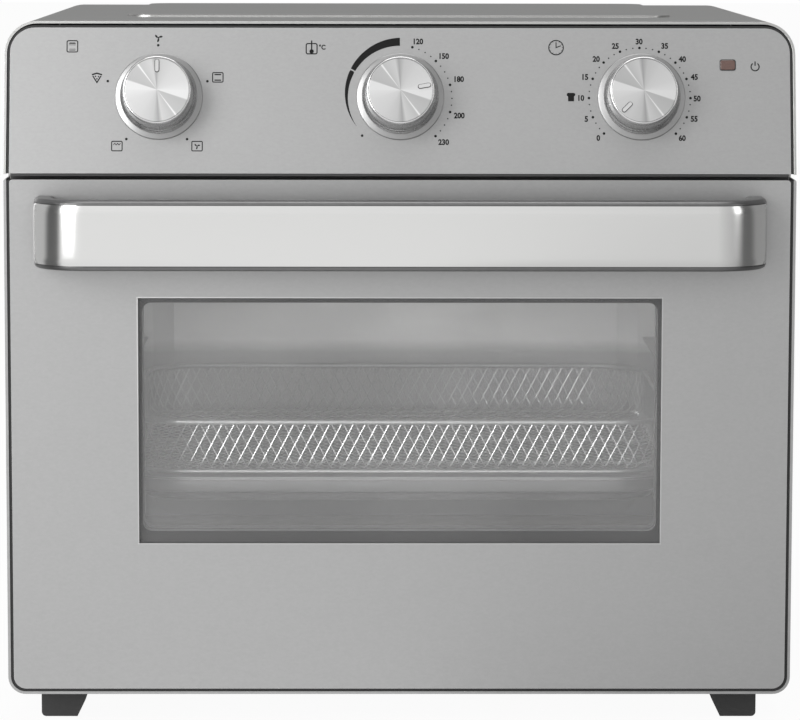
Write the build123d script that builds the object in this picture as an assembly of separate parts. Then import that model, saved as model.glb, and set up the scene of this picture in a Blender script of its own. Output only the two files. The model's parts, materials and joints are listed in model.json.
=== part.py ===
import os
from math import cos, radians, sin

from build123d import *

# Air fryer oven: a countertop oven with a drop-down glass door and a row of three knobs above it.
# Pieces are drawn with the door's face at y = 0, the back along +Y and the counter at z = 0.
# save() moves each one so that the origin lies at the middle of the footprint.

# Outer body
body_width = 380.0
body_top = 342.0
body_rear = 328.0
wrap_sheet = 1.2
wrap_corner = 15.5
foot_height = 16.5
sheet = 1.0
fit = 0.1
rest_gap = 0.3

# Pressed field on the top, with its distances from the body's sides, face and rear
field_rise = 1.0
field_side = 54.0
field_front = 88.0
field_back = 6.0
field_corner = 12.0

# Vent slots
vent_width = 3.0
vent_pitch = 8.0
side_vent_count = 13
side_vent_length = 34.0
side_vent_drop = 26.0
side_vent_back = 36.0
rear_vent_count = 21
rear_vent_length = 30.0
rear_vent_drops = (44.0, 162.0)
base_vent_rows = 5
base_vent_columns = 4
base_vent_length = 36.0
base_vent_pitch = 60.0

# Door. Its top lies a panel band below the top of the body
panel_band = 75.0
door_bottom = 16.4
door_depth = 22.0
door_corner = 8.5
rim_wall = 1.3
rim_face = 0.6
rim_gap = 1.5
plate_sheet = 1.2
plate_corner = 6.0
liner_drop = 0.4
window_side = 64.0
window_low = 90.7
window_drop = 57.1
inner_window_side = 1.8
inner_window_rise = 5.6
inner_window_drop = 2.5
inner_window_corner = 4.5
glass_thick = 3.2
glass_lap = 8.0
glass_corner = 3.0
retainer_thick = 3.2
inner_glass_lap = 4.0
pane_gap = 4.0
shell_side = 7.0
shell_low = 36.0
shell_drop = 4.0

# Hinge
hinge_y = 10.0
hinge_z = 27.0
hinge_sweep = 14.6
hinge_pin_radius = 3.0
hinge_eye_radius = 6.0
hinge_side = 10.0
hinge_arm_thick = 3.0
hinge_arm_reach = 60.0
hinge_foot_width = 14.0
arm_room = 0.8
cheek_gap = 8.0
cheek_sheet = 2.0
cheek_half = 7.0
pin_head = 1.2
running_gap = 0.08

# Body front frame and cavity
frame_front = 26.0
frame_over_door = 2.4
shelf_front = 4.0
cavity_side = 44.0
cavity_floor_z = 50.0
cavity_drop = 35.0
cavity_rear = 290.0
mouth_inset = 3.0
mouth_corner = 8.0
gasket_width = 6.0
press_side = 10.0
press_rise = 8.5
press_drop = 14.0
press_corner = 13.0
press_bevel = 11.7
press_depth = 6.0

# Control panel, drawn on a plane that leans back from the door's top edge
panel_lean = 12.5
panel_y = 1.0
panel_rise = 2.0
panel_low = 0.7
panel_high = 71.6
panel_side = 2.6
panel_corner = 12.0
panel_depth = 12.0
panel_line = 1.2
panel_floor = 2.4
control_hole = 5.0
knob_up = 38.1
knob_side = 74.2
knob_radius = 18.5
knob_skirt = 3.0
knob_wall = 3.5
knob_gap = 0.4
knob_cap_radius = 15.9
knob_height = 16.6
knob_bore_depth = 11.6
cap_thick = 0.9
pointer_width = 1.9
pointer_length = 6.0
pointer_radius = 11.5
bezel_radius = 21.0
bezel_height = 1.6
bezel_bore = 7.0
shaft_radius = 3.0
shaft_depth = 22.0
press_room = 0.02
switch_size = (36.0, 36.0, 22.0)
thermostat_size = (40.0, 32.0, 26.0)
timer_size = (46.0, 46.0, 34.0)
lamp_side = 32.6
lamp_up = 53.7
lamp_width = 7.2
lamp_height = 4.8

# Handle
handle_side = 14.5
handle_drop = 7.7
handle_height = 33.4
handle_reach = 35.0
handle_thick = 10.0
handle_bend = 26.0
handle_round = 2.2
handle_set_in = 0.8
strip_inset = 2.4
strip_gap = 0.5
strip_thick = 1.6
strip_wrap = 74.0
strip_edge = 0.8
handle_screw_radius = 2.45
handle_screw_reach = 11.0
screw_room = 0.05

# Feet
foot_side = 24.7
foot_width = 21.6
foot_length = 26.0
foot_front = 26.5
foot_back = 25.0
foot_round = 2.3
foot_slope = 4.0
foot_recess = 8.0
foot_screw_radius = 2.0
screw_head_radius = 4.0

# Basket, pan, rails and crumb tray
rail_width = 9.0
rail_sheet = 1.2
rail_height = 6.0
rail_levels = (84.0, 116.4, 160.0)
pan_side = 8.0
pan_depth = 13.2
pan_lip = 5.0
pan_lip_sheet = 1.5
pan_margin = 3.0
basket_side = 10.0
basket_front = 35.0
basket_length = 238.0
basket_foot = 2.4
basket_height = 25.8
basket_corner = 32.0
basket_sheet = 1.2
basket_wire = 1.4
basket_ring = 3.0
diamond_width = 14.0
diamond_height = 9.0
diamond_pitch = 20.0
diamond_row = 14.0
crumb_side = 8.5
crumb_length = 246.0
crumb_height = 6.0
crumb_grip = 40.0

# Fan and heating elements
fan_y = 165.0
fan_radius = 52.0
fan_blades = 8
fan_height = 13.0
fan_hub = 8.0
fan_bore = 62.0
housing_height = 25.0
grille_rings = ((14.0, 6), (26.0, 12), (38.0, 18), (50.0, 24))
grille_hole = 3.4
grille_depth = 3.0
motor_width = 64.0
motor_height = 26.0
rotor_radius = 13.0
rotor_gap = 0.6
element_radius = 3.5
element_reach = 12.0
upper_element_y = (58.0, 92.0, 238.0, 272.0)
upper_element_drop = 11.0
lower_element_y = (96.0, 224.0)
lower_element_rise = 16.0

# Cord gland and terminal block
gland_side = 40.0
gland_z = 62.0
gland_radius = 9.0
gland_bore = 4.2
gland_proud = 6.0
terminal_height = 16.0

# Sizes worked out from the ones above
half_width = body_width / 2
inner_half = half_width - wrap_sheet - fit
inner_top = body_top - wrap_sheet - fit
lean = radians(panel_lean)

door_top = body_top - panel_band
liner_half = half_width - rim_wall
plate_half = liner_half - rim_gap
window_half = half_width - window_side
window_high = door_top - window_drop
inner_window_half = window_half - inner_window_side
inner_window_low = window_low + inner_window_rise
inner_window_high = window_high - inner_window_drop
glass_half = window_half + glass_lap
glass_low = window_low - glass_lap
glass_high = window_high + glass_lap
glass_back = plate_sheet + glass_thick
retainer_back = glass_back + retainer_thick
inner_glass_front = retainer_back + pane_gap
inner_glass_back = inner_glass_front + glass_thick
shell_half = half_width - shell_side
shell_high = door_top - shell_drop
hinge_arm_x = half_width - hinge_side
pin_span = cheek_gap / 2 + cheek_sheet + pin_head + rest_gap

frame_back = frame_front + sheet
frame_top = door_top + frame_over_door
base_top = foot_height + sheet
cavity_half = half_width - cavity_side
cavity_ceiling_z = door_top - cavity_drop
floor_bottom = cavity_floor_z - sheet
ceiling_top = cavity_ceiling_z + sheet
mouth_half = cavity_half - mouth_inset
press_half = cavity_half - press_side
press_low = cavity_floor_z + press_rise
press_high = cavity_ceiling_z - press_drop

panel_z = door_top + panel_rise
panel_half = half_width - panel_side
panel_back = -sheet - panel_floor
knob_pitch = half_width - knob_side
knob_base = bezel_height + knob_gap
knob_top = knob_base + knob_height
lamp_x = half_width - lamp_side

# Name, place and rest angle of each knob's pointer, clockwise from the top
knobs = (("function", -knob_pitch, 0.0), ("temperature", 0.0, 80.0), ("timer", knob_pitch, -135.0))

handle_half = half_width - handle_side
handle_high = door_top - handle_drop
handle_low = handle_high - handle_height
handle_middle = (handle_low + handle_high) / 2
handle_leg_x = handle_half - handle_thick / 2
strip_low = handle_low + strip_inset
strip_high = handle_high - strip_inset
strip_back = -handle_reach + handle_bend * (1 - cos(radians(strip_wrap)))

foot_x = half_width - foot_side
rear_foot = body_rear - foot_back - foot_length
pan_half = cavity_half - pan_side
pan_high = rail_levels[1] + rest_gap + pan_lip_sheet
pan_low = pan_high - pan_depth
basket_half = cavity_half - basket_side
basket_low = pan_high + rest_gap + basket_foot
basket_high = basket_low + basket_height
crumb_half = mouth_half - crumb_side

shield_z = ceiling_top + housing_height
motor_low = shield_z + sheet
upper_element_z = cavity_ceiling_z - upper_element_drop
lower_element_z = cavity_floor_z + lower_element_rise
element_places = [(y, upper_element_z) for y in upper_element_y]
element_places += [(y, lower_element_z) for y in lower_element_y]
gland_x = gland_side - half_width
overall_rear = body_rear + gland_proud
centre_y = (overall_rear - handle_reach) / 2


def rounded(x_low, x_high, y_low, y_high, corner=0.0):
    """A rectangle between two corners, with equal rounds on all four."""
    width = x_high - x_low
    height = y_high - y_low
    if corner > 0:
        face = RectangleRounded(width, height, corner)
    else:
        face = Rectangle(width, height)
    return Pos((x_low + x_high) / 2, (y_low + y_high) / 2) * face


def arched(half, low, high, top_corner, bottom_corner=0.0):
    """A rectangle whose upper and lower corners have rounds of their own."""
    face = rounded(-half, half, low, high)
    if top_corner > 0:
        face = fillet(face.vertices().group_by(Axis.Y)[-1], top_corner)
    if bottom_corner > 0:
        face = fillet(face.vertices().group_by(Axis.Y)[0], bottom_corner)
    return face


def upright(outline, front, back):
    """An outline seen from the front, given its depth from y = front to y = back."""
    plane = Plane(origin=(0, back, 0), x_dir=(1, 0, 0), z_dir=(0, -1, 0))
    return extrude(plane * outline, amount=back - front)


def level(outline, low, high):
    """An outline seen from above, given its height from z = low to z = high."""
    return Pos(0, 0, low) * extrude(outline, amount=high - low)


def sideways(points, left, right):
    """A polygon of (y, z) points, given its width from x = left to x = right."""
    plane = Plane(origin=(left, 0, 0), x_dir=(0, 1, 0), z_dir=(1, 0, 0))
    return extrude(plane * make_face(Polyline(*points, close=True)), amount=right - left)


def block(x_low, x_high, y_low, y_high, z_low, z_high):
    """A plain block between two corners."""
    return level(rounded(x_low, x_high, y_low, y_high), z_low, z_high)


def rod_x(x_low, x_high, y, z, radius):
    """A round bar along X."""
    return Pos((x_low + x_high) / 2, y, z) * Rot(0, 90, 0) * Cylinder(radius, x_high - x_low)


def rod_y(x, y_low, y_high, z, radius):
    """A round bar along Y."""
    return Pos(x, (y_low + y_high) / 2, z) * Rot(90, 0, 0) * Cylinder(radius, y_high - y_low)


def rod_z(x, y, z_low, z_high, radius):
    """A round bar along Z."""
    return Pos(x, y, (z_low + z_high) / 2) * Cylinder(radius, z_high - z_low)


def on_panel(shape, x=0.0, up=0.0):
    """Moves a shape drawn about z = 0 onto the leaning panel, with its z pointing out of it."""
    panel = Pos(0, panel_y, panel_z) * Rot(90 - panel_lean, 0, 0)
    return panel * Pos(x, up, 0) * shape


def both_sides(shape):
    """A piece and its mirror image across x = 0."""
    return [shape, mirror(shape, about=Plane.YZ)]


def save(node, pieces):
    """Writes one node: a solid, or a group of separate like solids."""
    solids = []
    for piece in pieces if isinstance(pieces, list) else [pieces]:
        solids += piece.solids()
    placed = [Pos(0, -centre_y, 0) * solid for solid in solids]
    group = Compound(children=placed) if len(placed) > 1 else placed[0]
    export_step(group, f"parts/{node}.step")


def panel_edge_y(z):
    """How far back the panel's face is at a height."""
    return panel_y + (z - panel_z) * sin(lean) / cos(lean)


# Outer wrap: top and sides in one folded sheet
def outer_wrap():
    front = panel_y - 1.0
    wrap = upright(arched(half_width, foot_height, body_top, wrap_corner), front, body_rear)
    hollow = arched(half_width - wrap_sheet, foot_height - 1, body_top - wrap_sheet, wrap_corner - wrap_sheet)
    wrap -= upright(hollow, front - 1, body_rear + 1)
    top = body_top + 1
    ahead = [
        (front - 1, foot_height - 1),
        (frame_front, foot_height - 1),
        (frame_front, frame_top),
        (panel_edge_y(frame_top) - 0.3, frame_top),
        (panel_edge_y(top) - 0.3, top),
        (front - 1, top),
    ]
    wrap -= sideways(ahead, -half_width - 1, half_width + 1)
    field_half = half_width - field_side
    field_rear = body_rear - field_back
    field = rounded(-field_half, field_half, field_front, field_rear, field_corner)
    wrap += level(field, body_top - wrap_sheet / 2, body_top + field_rise)
    inside = rounded(
        -field_half + wrap_sheet, field_half - wrap_sheet,
        field_front + wrap_sheet, field_rear - wrap_sheet, field_corner - wrap_sheet)
    wrap -= level(inside, body_top - 2 * wrap_sheet, body_top + field_rise - wrap_sheet)
    vent_top = body_top - side_vent_drop
    for index in range(side_vent_count):
        y = body_rear - side_vent_back - index * vent_pitch
        wrap -= block(
            -half_width - 1, half_width + 1, y, y + vent_width, vent_top - side_vent_length, vent_top)
    return wrap


# Base pan: floor of the body, between the wrap's sides
def base_pan():
    pan = block(-inner_half, inner_half, frame_back, body_rear - wrap_sheet, foot_height, base_top)
    middle = (frame_back + body_rear) / 2
    half_length = base_vent_length / 2
    for column in range(base_vent_columns):
        x = (column - (base_vent_columns - 1) / 2) * base_vent_pitch
        for row in range(base_vent_rows):
            y = middle + (row - (base_vent_rows - 1) / 2) * 4 * vent_pitch
            pan -= block(x - half_length, x + half_length, y, y + vent_width, foot_height - 1, base_top + 1)
    return pan


# Back panel with its vent slots and the hole for the cord gland
def back_panel():
    outline = arched(inner_half, base_top, inner_top, wrap_corner - wrap_sheet - fit)
    panel = upright(outline, body_rear - wrap_sheet, body_rear)
    first = -(rear_vent_count - 1) / 2 * vent_pitch
    for drop in rear_vent_drops:
        high = body_top - drop
        for index in range(rear_vent_count):
            x = first + index * vent_pitch
            half = vent_width / 2
            slot = rounded(x - half, x + half, high - rear_vent_length, high, half - fit)
            panel -= upright(slot, body_rear - 3, body_rear + 1)
    panel -= rod_y(gland_x, body_rear - 3, body_rear + 1, gland_z, gland_radius - 2.5)
    return panel


# Front frame round the cavity mouth, with the shelf that closes the gap over the door
def front_frame():
    outline = rounded(-inner_half, inner_half, base_top, frame_top)
    frame = upright(outline, frame_front, frame_back)
    frame += block(-inner_half + 2, inner_half - 2, shelf_front, frame_back, frame_top - sheet, frame_top)
    mouth = rounded(-mouth_half, mouth_half, cavity_floor_z, cavity_ceiling_z - mouth_inset, mouth_corner)
    frame -= upright(mouth, frame_front - 1, frame_back + 1)
    arm_half = hinge_arm_thick / 2 + rest_gap
    slot_half = hinge_eye_radius + rest_gap
    for side in (-1, 1):
        x = side * hinge_arm_x
        frame -= block(
            x - arm_half, x + arm_half, frame_front - 1, frame_back + 1,
            hinge_z - slot_half, hinge_z + slot_half)
    return frame


# Gasket between the front frame and the closed door
def door_gasket():
    half = mouth_half + 1
    low = cavity_floor_z - 1
    high = cavity_ceiling_z - mouth_inset + 1
    width = gasket_width
    outer = rounded(-half - width, half + width, low - width, high + width, mouth_corner + width)
    inner = rounded(-half, half, low, high, mouth_corner)
    return upright(outer - inner, door_depth + rest_gap, frame_front)


# Cavity walls
def cavity_floor():
    return block(-cavity_half, cavity_half, frame_back, cavity_rear, floor_bottom, cavity_floor_z)


def cavity_ceiling():
    ceiling = block(-cavity_half, cavity_half, frame_back, cavity_rear, cavity_ceiling_z, ceiling_top)
    return ceiling - rod_z(0, fan_y, cavity_ceiling_z - 1, ceiling_top + 1, fan_bore - 4)


def cavity_side_wall():
    wall = block(cavity_half, cavity_half + sheet, frame_back, cavity_rear, floor_bottom, ceiling_top)
    for y, z in element_places:
        wall -= rod_x(cavity_half - 1, cavity_half + sheet + 1, y, z, element_radius + 2)
    return wall


def cavity_back_wall():
    edge = cavity_half + sheet
    wall = upright(rounded(-edge, edge, floor_bottom, ceiling_top), cavity_rear, cavity_rear + sheet)

    def frustum(front, back, inset):
        outer = rounded(
            -press_half + inset, press_half - inset,
            press_low + inset, press_high - inset, press_corner - inset)
        inner_half_width = press_half - press_bevel - inset
        inner = rounded(
            -inner_half_width, inner_half_width,
            press_low + press_bevel + inset, press_high - press_bevel - inset, 3.0)
        near = Plane(origin=(0, front, 0), x_dir=(1, 0, 0), z_dir=(0, -1, 0)) * outer
        far = Plane(origin=(0, back, 0), x_dir=(1, 0, 0), z_dir=(0, -1, 0)) * inner
        return loft([near.face(), far.face()])

    wall += frustum(cavity_rear + sheet / 2, cavity_rear + press_depth + sheet, 0.0)
    wall -= frustum(cavity_rear - 0.2, cavity_rear + press_depth, 1.0)
    return wall


# Rails that carry the pan, three levels on each side wall
def rack_rails():
    rails = []
    for z in rail_levels:
        front = frame_back + rail_height
        back = cavity_rear - rail_height
        ledge = block(cavity_half - rail_width, cavity_half, front, back, z - rail_sheet, z)
        ledge += block(cavity_half - rail_sheet, cavity_half, front, back, z - rail_height, z)
        rails += both_sides(ledge)
    return rails


# Control panel
def panel_outline(inset_side, top):
    half = panel_half + inset_side
    return arched(half, panel_low, top, panel_corner + inset_side)


def panel_plate():
    plate = on_panel(level(panel_outline(0.0, panel_high), -sheet, 0.0))
    for x in (-knob_pitch, 0, knob_pitch):
        plate -= on_panel(Pos(x, knob_up) * Cylinder(control_hole, 6.0))
    plate -= on_panel(Pos(lamp_x, lamp_up) * Box(lamp_width + 0.2, lamp_height + 0.2, 6.0))
    return plate & block(-half_width, half_width, -10, 60, frame_top + rest_gap, body_top)


def panel_frame():
    outer = panel_outline(panel_line, panel_high + panel_line)
    frame = level(outer, -panel_depth, -0.3)
    frame -= level(panel_outline(fit, panel_high + fit), -sheet, 1.0)
    pocket = arched(panel_half - 3, panel_low + 4, panel_high - 3, panel_corner - 3)
    frame -= level(pocket, -panel_depth - 1, panel_back)
    for x in (-knob_pitch, 0, knob_pitch):
        frame -= Pos(x, knob_up) * Cylinder(control_hole, 12.0)
    frame -= Pos(lamp_x, lamp_up) * Box(lamp_width + 0.2, lamp_height + 0.2, 12.0)
    frame = on_panel(frame)
    return frame & block(-half_width, half_width, -10, 60, frame_top + rest_gap, body_top)


def knob_bezel(x):
    ring = Cylinder(bezel_radius, bezel_height, align=(Align.CENTER, Align.CENTER, Align.MIN))
    ring = chamfer(ring.edges().group_by(Axis.Z)[-1], 0.7)
    ring -= Cylinder(bezel_bore, 10.0)
    return on_panel(ring, x, knob_up)


def upward_cylinder(radius, length):
    """A round bar that stands on z = 0."""
    return Cylinder(radius, length, align=(Align.CENTER, Align.CENTER, Align.MIN))


def knob_body(x):
    half = [
        (0, knob_base), (knob_radius, knob_base), (knob_radius, knob_base + knob_skirt),
        (knob_cap_radius + 0.6, knob_top - 0.6), (knob_cap_radius, knob_top), (0, knob_top),
    ]
    body = revolve(Plane.XZ * make_face(Polyline(*half, close=True)), Axis.Z)
    hollow = upward_cylinder(knob_radius - knob_wall, 7.0) - Cylinder(shaft_radius + knob_skirt, 30.0)
    body -= Pos(0, 0, knob_base) * upward_cylinder(shaft_radius + press_room, knob_bore_depth)
    body -= Pos(0, 0, knob_base) * hollow
    return on_panel(body, x, knob_up)


def knob_cap(x, pointer_angle):
    disc = upward_cylinder(knob_cap_radius - 0.5, cap_thick)
    disc = chamfer(disc.edges().group_by(Axis.Z)[-1], cap_thick / 2)
    pointer = Box(pointer_width, pointer_length, 2 * cap_thick, align=(Align.CENTER, Align.CENTER, Align.MIN))
    cap = disc + Rot(0, 0, -pointer_angle) * Pos(0, pointer_radius, 0) * pointer
    return on_panel(Pos(0, 0, knob_top) * cap, x, knob_up)


def knob_shaft(x):
    shaft = Pos(0, 0, -shaft_depth) * upward_cylinder(shaft_radius, shaft_depth + knob_base + knob_bore_depth)
    return on_panel(shaft, x, knob_up)


def control_body(x, width, height, depth):
    body = level(rounded(-width / 2, width / 2, -height / 2, height / 2, 3.0), panel_back - depth, panel_back)
    body += level(Circle(control_hole - fit), panel_back, -rest_gap)
    body -= level(Circle(shaft_radius + running_gap), -shaft_depth - rest_gap, 1.0)
    return on_panel(body, x, knob_up)


def indicator_lamp():
    lens = Box(lamp_width, lamp_height, 0.6 - panel_back, align=(Align.CENTER, Align.CENTER, Align.MIN))
    lens = fillet(lens.edges().filter_by(Axis.Z), 1.2)
    lens = fillet(lens.edges().group_by(Axis.Z)[-1], 0.5)
    holder = Box(lamp_width + 3, lamp_height + 3, 6.0, align=(Align.CENTER, Align.CENTER, Align.MAX))
    return on_panel(Pos(0, 0, panel_back) * (lens + holder), lamp_x, lamp_up)


# Door
def hinge_relief(low_shape):
    """Keeps what lies ahead of the hinge, above it, or within the sweep round its axis."""
    keep = block(-half_width, half_width, -1, hinge_y, door_bottom - 1, door_top + 1)
    keep += block(-half_width, half_width, -1, door_depth, hinge_z, door_top + 1)
    keep += rod_x(-half_width, half_width, hinge_y, hinge_z, hinge_sweep)
    return low_shape & keep


def arm_slots(shape, back):
    """Opens the lower wall of a door piece for the hinge arms."""
    for side in (-1, 1):
        x = side * hinge_arm_x
        half = hinge_arm_thick / 2 + arm_room
        front = hinge_y - hinge_eye_radius - arm_room
        shape -= block(x - half, x + half, front, back, door_bottom - 1, hinge_z)
    return shape


def door_plate():
    low = door_bottom + rim_wall + rim_gap
    outline = arched(plate_half, low, door_top - liner_drop / 2, 1.5, plate_corner)
    plate = upright(outline, 0, plate_sheet)
    plate -= upright(rounded(-window_half, window_half, window_low, window_high), -1, plate_sheet + 1)
    for side in (-1, 1):
        plate -= rod_y(side * handle_leg_x, -1, 3, handle_middle, handle_screw_radius + screw_room)
    return plate


def door_rim():
    outer = arched(half_width, door_bottom, door_top, 1.0, door_corner)
    inner = arched(liner_half, door_bottom + rim_wall, door_top + 2, 0.0, door_corner - rim_wall)
    rim = upright(outer - inner, rim_face, door_depth)
    return arm_slots(hinge_relief(rim), door_depth + 1)


def door_liner():
    low = door_bottom + rim_wall + press_room
    outer = arched(liner_half - press_room, low, door_top - liner_drop, 1.0, door_corner - rim_wall)
    liner = upright(outer, plate_sheet, retainer_back)
    glass_pocket = rounded(-glass_half - fit, glass_half + fit, glass_low - fit, glass_high + fit)
    liner -= upright(glass_pocket, 0, retainer_back + 1)
    pin_room = hinge_pin_radius + 2.5
    for side in (-1, 1):
        liner -= rod_y(side * handle_leg_x, 0, 9, handle_middle, handle_screw_radius + screw_room)
        x = side * hinge_arm_x
        liner -= block(
            x - pin_span, x + pin_span, hinge_y - hinge_eye_radius - arm_room, door_depth,
            hinge_z - pin_room, hinge_z + hinge_eye_radius + 1.0)
    return arm_slots(liner, door_depth)


def outer_glass():
    outline = rounded(-glass_half, glass_half, glass_low, glass_high, glass_corner)
    return upright(outline, plate_sheet, glass_back)


def window_retainer():
    outer = rounded(-glass_half, glass_half, glass_low, glass_high, glass_corner)
    inner = rounded(
        -inner_window_half, inner_window_half, inner_window_low, inner_window_high, inner_window_corner)
    return upright(outer - inner, glass_back, retainer_back)


def inner_shell():
    outline = rounded(-shell_half, shell_half, shell_low, shell_high, 6.0)
    shell = upright(outline, retainer_back, door_depth)
    hollow = rounded(
        -shell_half + sheet, shell_half - sheet, shell_low + sheet, shell_high - sheet, 5.0)
    shell -= upright(hollow, retainer_back - 1, door_depth - sheet)
    well = rounded(-glass_half, glass_half, glass_low, glass_high, glass_corner)
    shell += upright(well, inner_glass_front, door_depth)
    for x in (-glass_half + 6, glass_half - 6):
        shell += block(x - 3, x + 3, retainer_back, inner_glass_front, glass_low + 20, glass_high - 20)
    opening = rounded(
        -inner_window_half, inner_window_half, inner_window_low, inner_window_high, inner_window_corner)
    shell -= upright(opening, inner_glass_front - 1, door_depth + 1)
    shell -= upright(inner_glass_outline(fit), inner_glass_front - 1, inner_glass_back)
    return shell


def inner_glass_outline(room):
    """The inner pane's outline, or that of its seat where it is given room."""
    lap = inner_glass_lap + room
    return rounded(
        -inner_window_half - lap, inner_window_half + lap,
        inner_window_low - lap, inner_window_high + lap, glass_corner)


def inner_glass():
    return upright(inner_glass_outline(0), inner_glass_front, inner_glass_back)


def handle_plan(inset):
    """The handle's outline seen from above, taken in by an inset from its outer face."""
    side = handle_half - inset
    front = -handle_reach + inset
    outline = rounded(-side, side, front, 0)
    return fillet(outline.vertices().group_by(Axis.Y)[0], handle_bend - inset)


def handle_core():
    core = level(handle_plan(handle_set_in) - handle_plan(handle_thick), handle_low, handle_high)
    core = fillet(core.edges().group_by(Axis.Z)[-1] + core.edges().group_by(Axis.Z)[0], handle_round)
    recess = level(
        handle_plan(-1.0) - handle_plan(strip_thick + fit), strip_low - strip_gap, strip_high + strip_gap)
    recess &= block(-half_width, half_width, -2 * handle_reach, strip_back + strip_gap, 0, body_top)
    core -= recess
    for side in (-1, 1):
        core -= rod_y(
            side * handle_leg_x, -handle_screw_reach - 1, 1, handle_middle, handle_screw_radius + screw_room)
    return core


def handle_strip():
    strip = level(handle_plan(0.0) - handle_plan(strip_thick), strip_low, strip_high)
    strip &= block(-half_width, half_width, -2 * handle_reach, strip_back, 0, body_top)
    rims = strip.edges().group_by(Axis.Z)[-1] + strip.edges().group_by(Axis.Z)[0]
    front_edges = [edge for edge in rims if (edge @ 0.5).Y < fit - handle_reach]
    return chamfer(front_edges, strip_edge)


def handle_screws():
    screws = []
    for side in (-1, 1):
        x = side * handle_leg_x
        screw = rod_y(x, -handle_screw_reach, retainer_back, handle_middle, handle_screw_radius)
        screw += rod_y(x, retainer_back, retainer_back + 3, handle_middle, screw_head_radius)
        screws.append(screw)
    return screws


# Hinge: cheeks and pins on the door, arms on the body
def hinge_cheeks():
    half = cheek_gap / 2
    front = retainer_back
    cheeks = []
    for x in (hinge_arm_x - half - cheek_sheet, hinge_arm_x + half):
        cheeks.append(block(
            x, x + cheek_sheet, front, hinge_y + cheek_half, hinge_z - cheek_half, shell_low + cheek_half))
    web_low = hinge_z + hinge_eye_radius + 1.5
    pair = cheeks[0] + cheeks[1]
    pair += block(
        hinge_arm_x - half - cheek_sheet, hinge_arm_x + half + cheek_sheet,
        front, front + cheek_sheet, web_low, shell_low + cheek_half)
    pair -= rod_x(0, half_width, hinge_y, hinge_z, hinge_pin_radius + press_room)
    pair -= block(0, shell_half + fit, front - 1, door_depth + 1, shell_low - fit, door_top)
    return both_sides(pair)


def hinge_pins():
    half = cheek_gap / 2 + cheek_sheet
    pin = rod_x(hinge_arm_x - half, hinge_arm_x + half, hinge_y, hinge_z, hinge_pin_radius)
    pin += rod_x(hinge_arm_x - half - pin_head, hinge_arm_x - half, hinge_y, hinge_z, hinge_pin_radius + 1.5)
    pin += rod_x(hinge_arm_x + half, hinge_arm_x + half + pin_head, hinge_y, hinge_z, hinge_pin_radius + 1.5)
    return both_sides(pin)


def hinge_brackets():
    left = hinge_arm_x - hinge_arm_thick / 2
    right = hinge_arm_x + hinge_arm_thick / 2
    arm = block(left, right, hinge_y, hinge_arm_reach, hinge_z - hinge_eye_radius, hinge_z + hinge_eye_radius)
    arm += rod_x(left, right, hinge_y, hinge_z, hinge_eye_radius)
    arm += block(left, right, frame_back + 3, hinge_arm_reach, base_top, hinge_z + 12)
    arm += block(left - hinge_foot_width, right, frame_back + 3, hinge_arm_reach, base_top, base_top + 1.5)
    arm -= rod_x(left - 1, right + 1, hinge_y, hinge_z, hinge_pin_radius + running_gap)
    return both_sides(arm)


# Feet and screws
def foot(side, y):
    inner = foot_x - foot_width / 2
    outer = foot_x + foot_width / 2
    points = [
        (inner + foot_slope, 0), (outer, 0), (outer, foot_height),
        (inner, foot_height), (inner, foot_height / 2),
    ]
    outline = make_face(Polyline(*points, close=True))
    shape = upright(outline, y, y + foot_length)
    shape = fillet(shape.edges().filter_by(Axis.Y).group_by(Axis.X)[-1].sort_by(Axis.Z)[0], foot_round)
    middle = y + foot_length / 2
    shape -= rod_z(foot_x, middle, -1, foot_recess, screw_head_radius + 1)
    shape -= rod_z(foot_x, middle, -1, foot_height + 1, foot_screw_radius + fit)
    if side < 0:
        shape = mirror(shape, about=Plane.YZ)
    return shape


def foot_screws():
    screws = []
    for y in (foot_front, rear_foot):
        for x in (-foot_x, foot_x):
            middle = y + foot_length / 2
            screw = rod_z(x, middle, foot_recess - 3, foot_recess, screw_head_radius)
            screw += rod_z(x, middle, foot_recess, foot_height, foot_screw_radius)
            screws.append(screw)
    return screws


def rear_screws():
    screws = []
    edge = half_width - handle_side
    for x in (-edge, -edge / 3, edge / 3, edge):
        for z in (foot_height + handle_side, body_top - handle_side - sheet):
            head = rod_y(x, body_rear, body_rear + 2.2, z, screw_head_radius)
            head = chamfer(head.edges().group_by(Axis.Y)[-1], 0.7)
            screws.append(head)
    return screws


# Cord gland and terminal block
def cord_gland():
    gland = rod_y(gland_x, body_rear, body_rear + 2.5, gland_z, gland_radius)
    gland += rod_y(gland_x, body_rear + 2.5, overall_rear, gland_z, gland_radius - 2)
    gland += rod_y(gland_x, body_rear - 8, body_rear, gland_z, gland_radius - 2.6)
    gland -= rod_y(gland_x, body_rear - 9, overall_rear + 1, gland_z, gland_bore)
    return gland


def terminal_block():
    y = body_rear - 30.0
    top = base_top + terminal_height
    shape = block(gland_x - 16, gland_x + 16, y, y + 14, base_top, top)
    for index in (-1, 0, 1):
        shape -= rod_z(gland_x + index * 10, y + 7, top - 10, top + 1, 2.6)
    return shape


# Fan above the cavity
def heat_shield():
    half = cavity_half + mouth_inset
    shield = block(-half, half, frame_back, body_rear - wrap_sheet, shield_z, motor_low)
    return shield - rod_z(0, fan_y, shield_z - 1, motor_low + 1, 2 * shaft_radius)


def fan_housing():
    cup = rod_z(0, fan_y, ceiling_top, shield_z, fan_bore + sheet)
    cup -= rod_z(0, fan_y, ceiling_top - 1, shield_z - sheet, fan_bore)
    return cup - rod_z(0, fan_y, shield_z - 2, shield_z + 1, 2 * shaft_radius)


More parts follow.
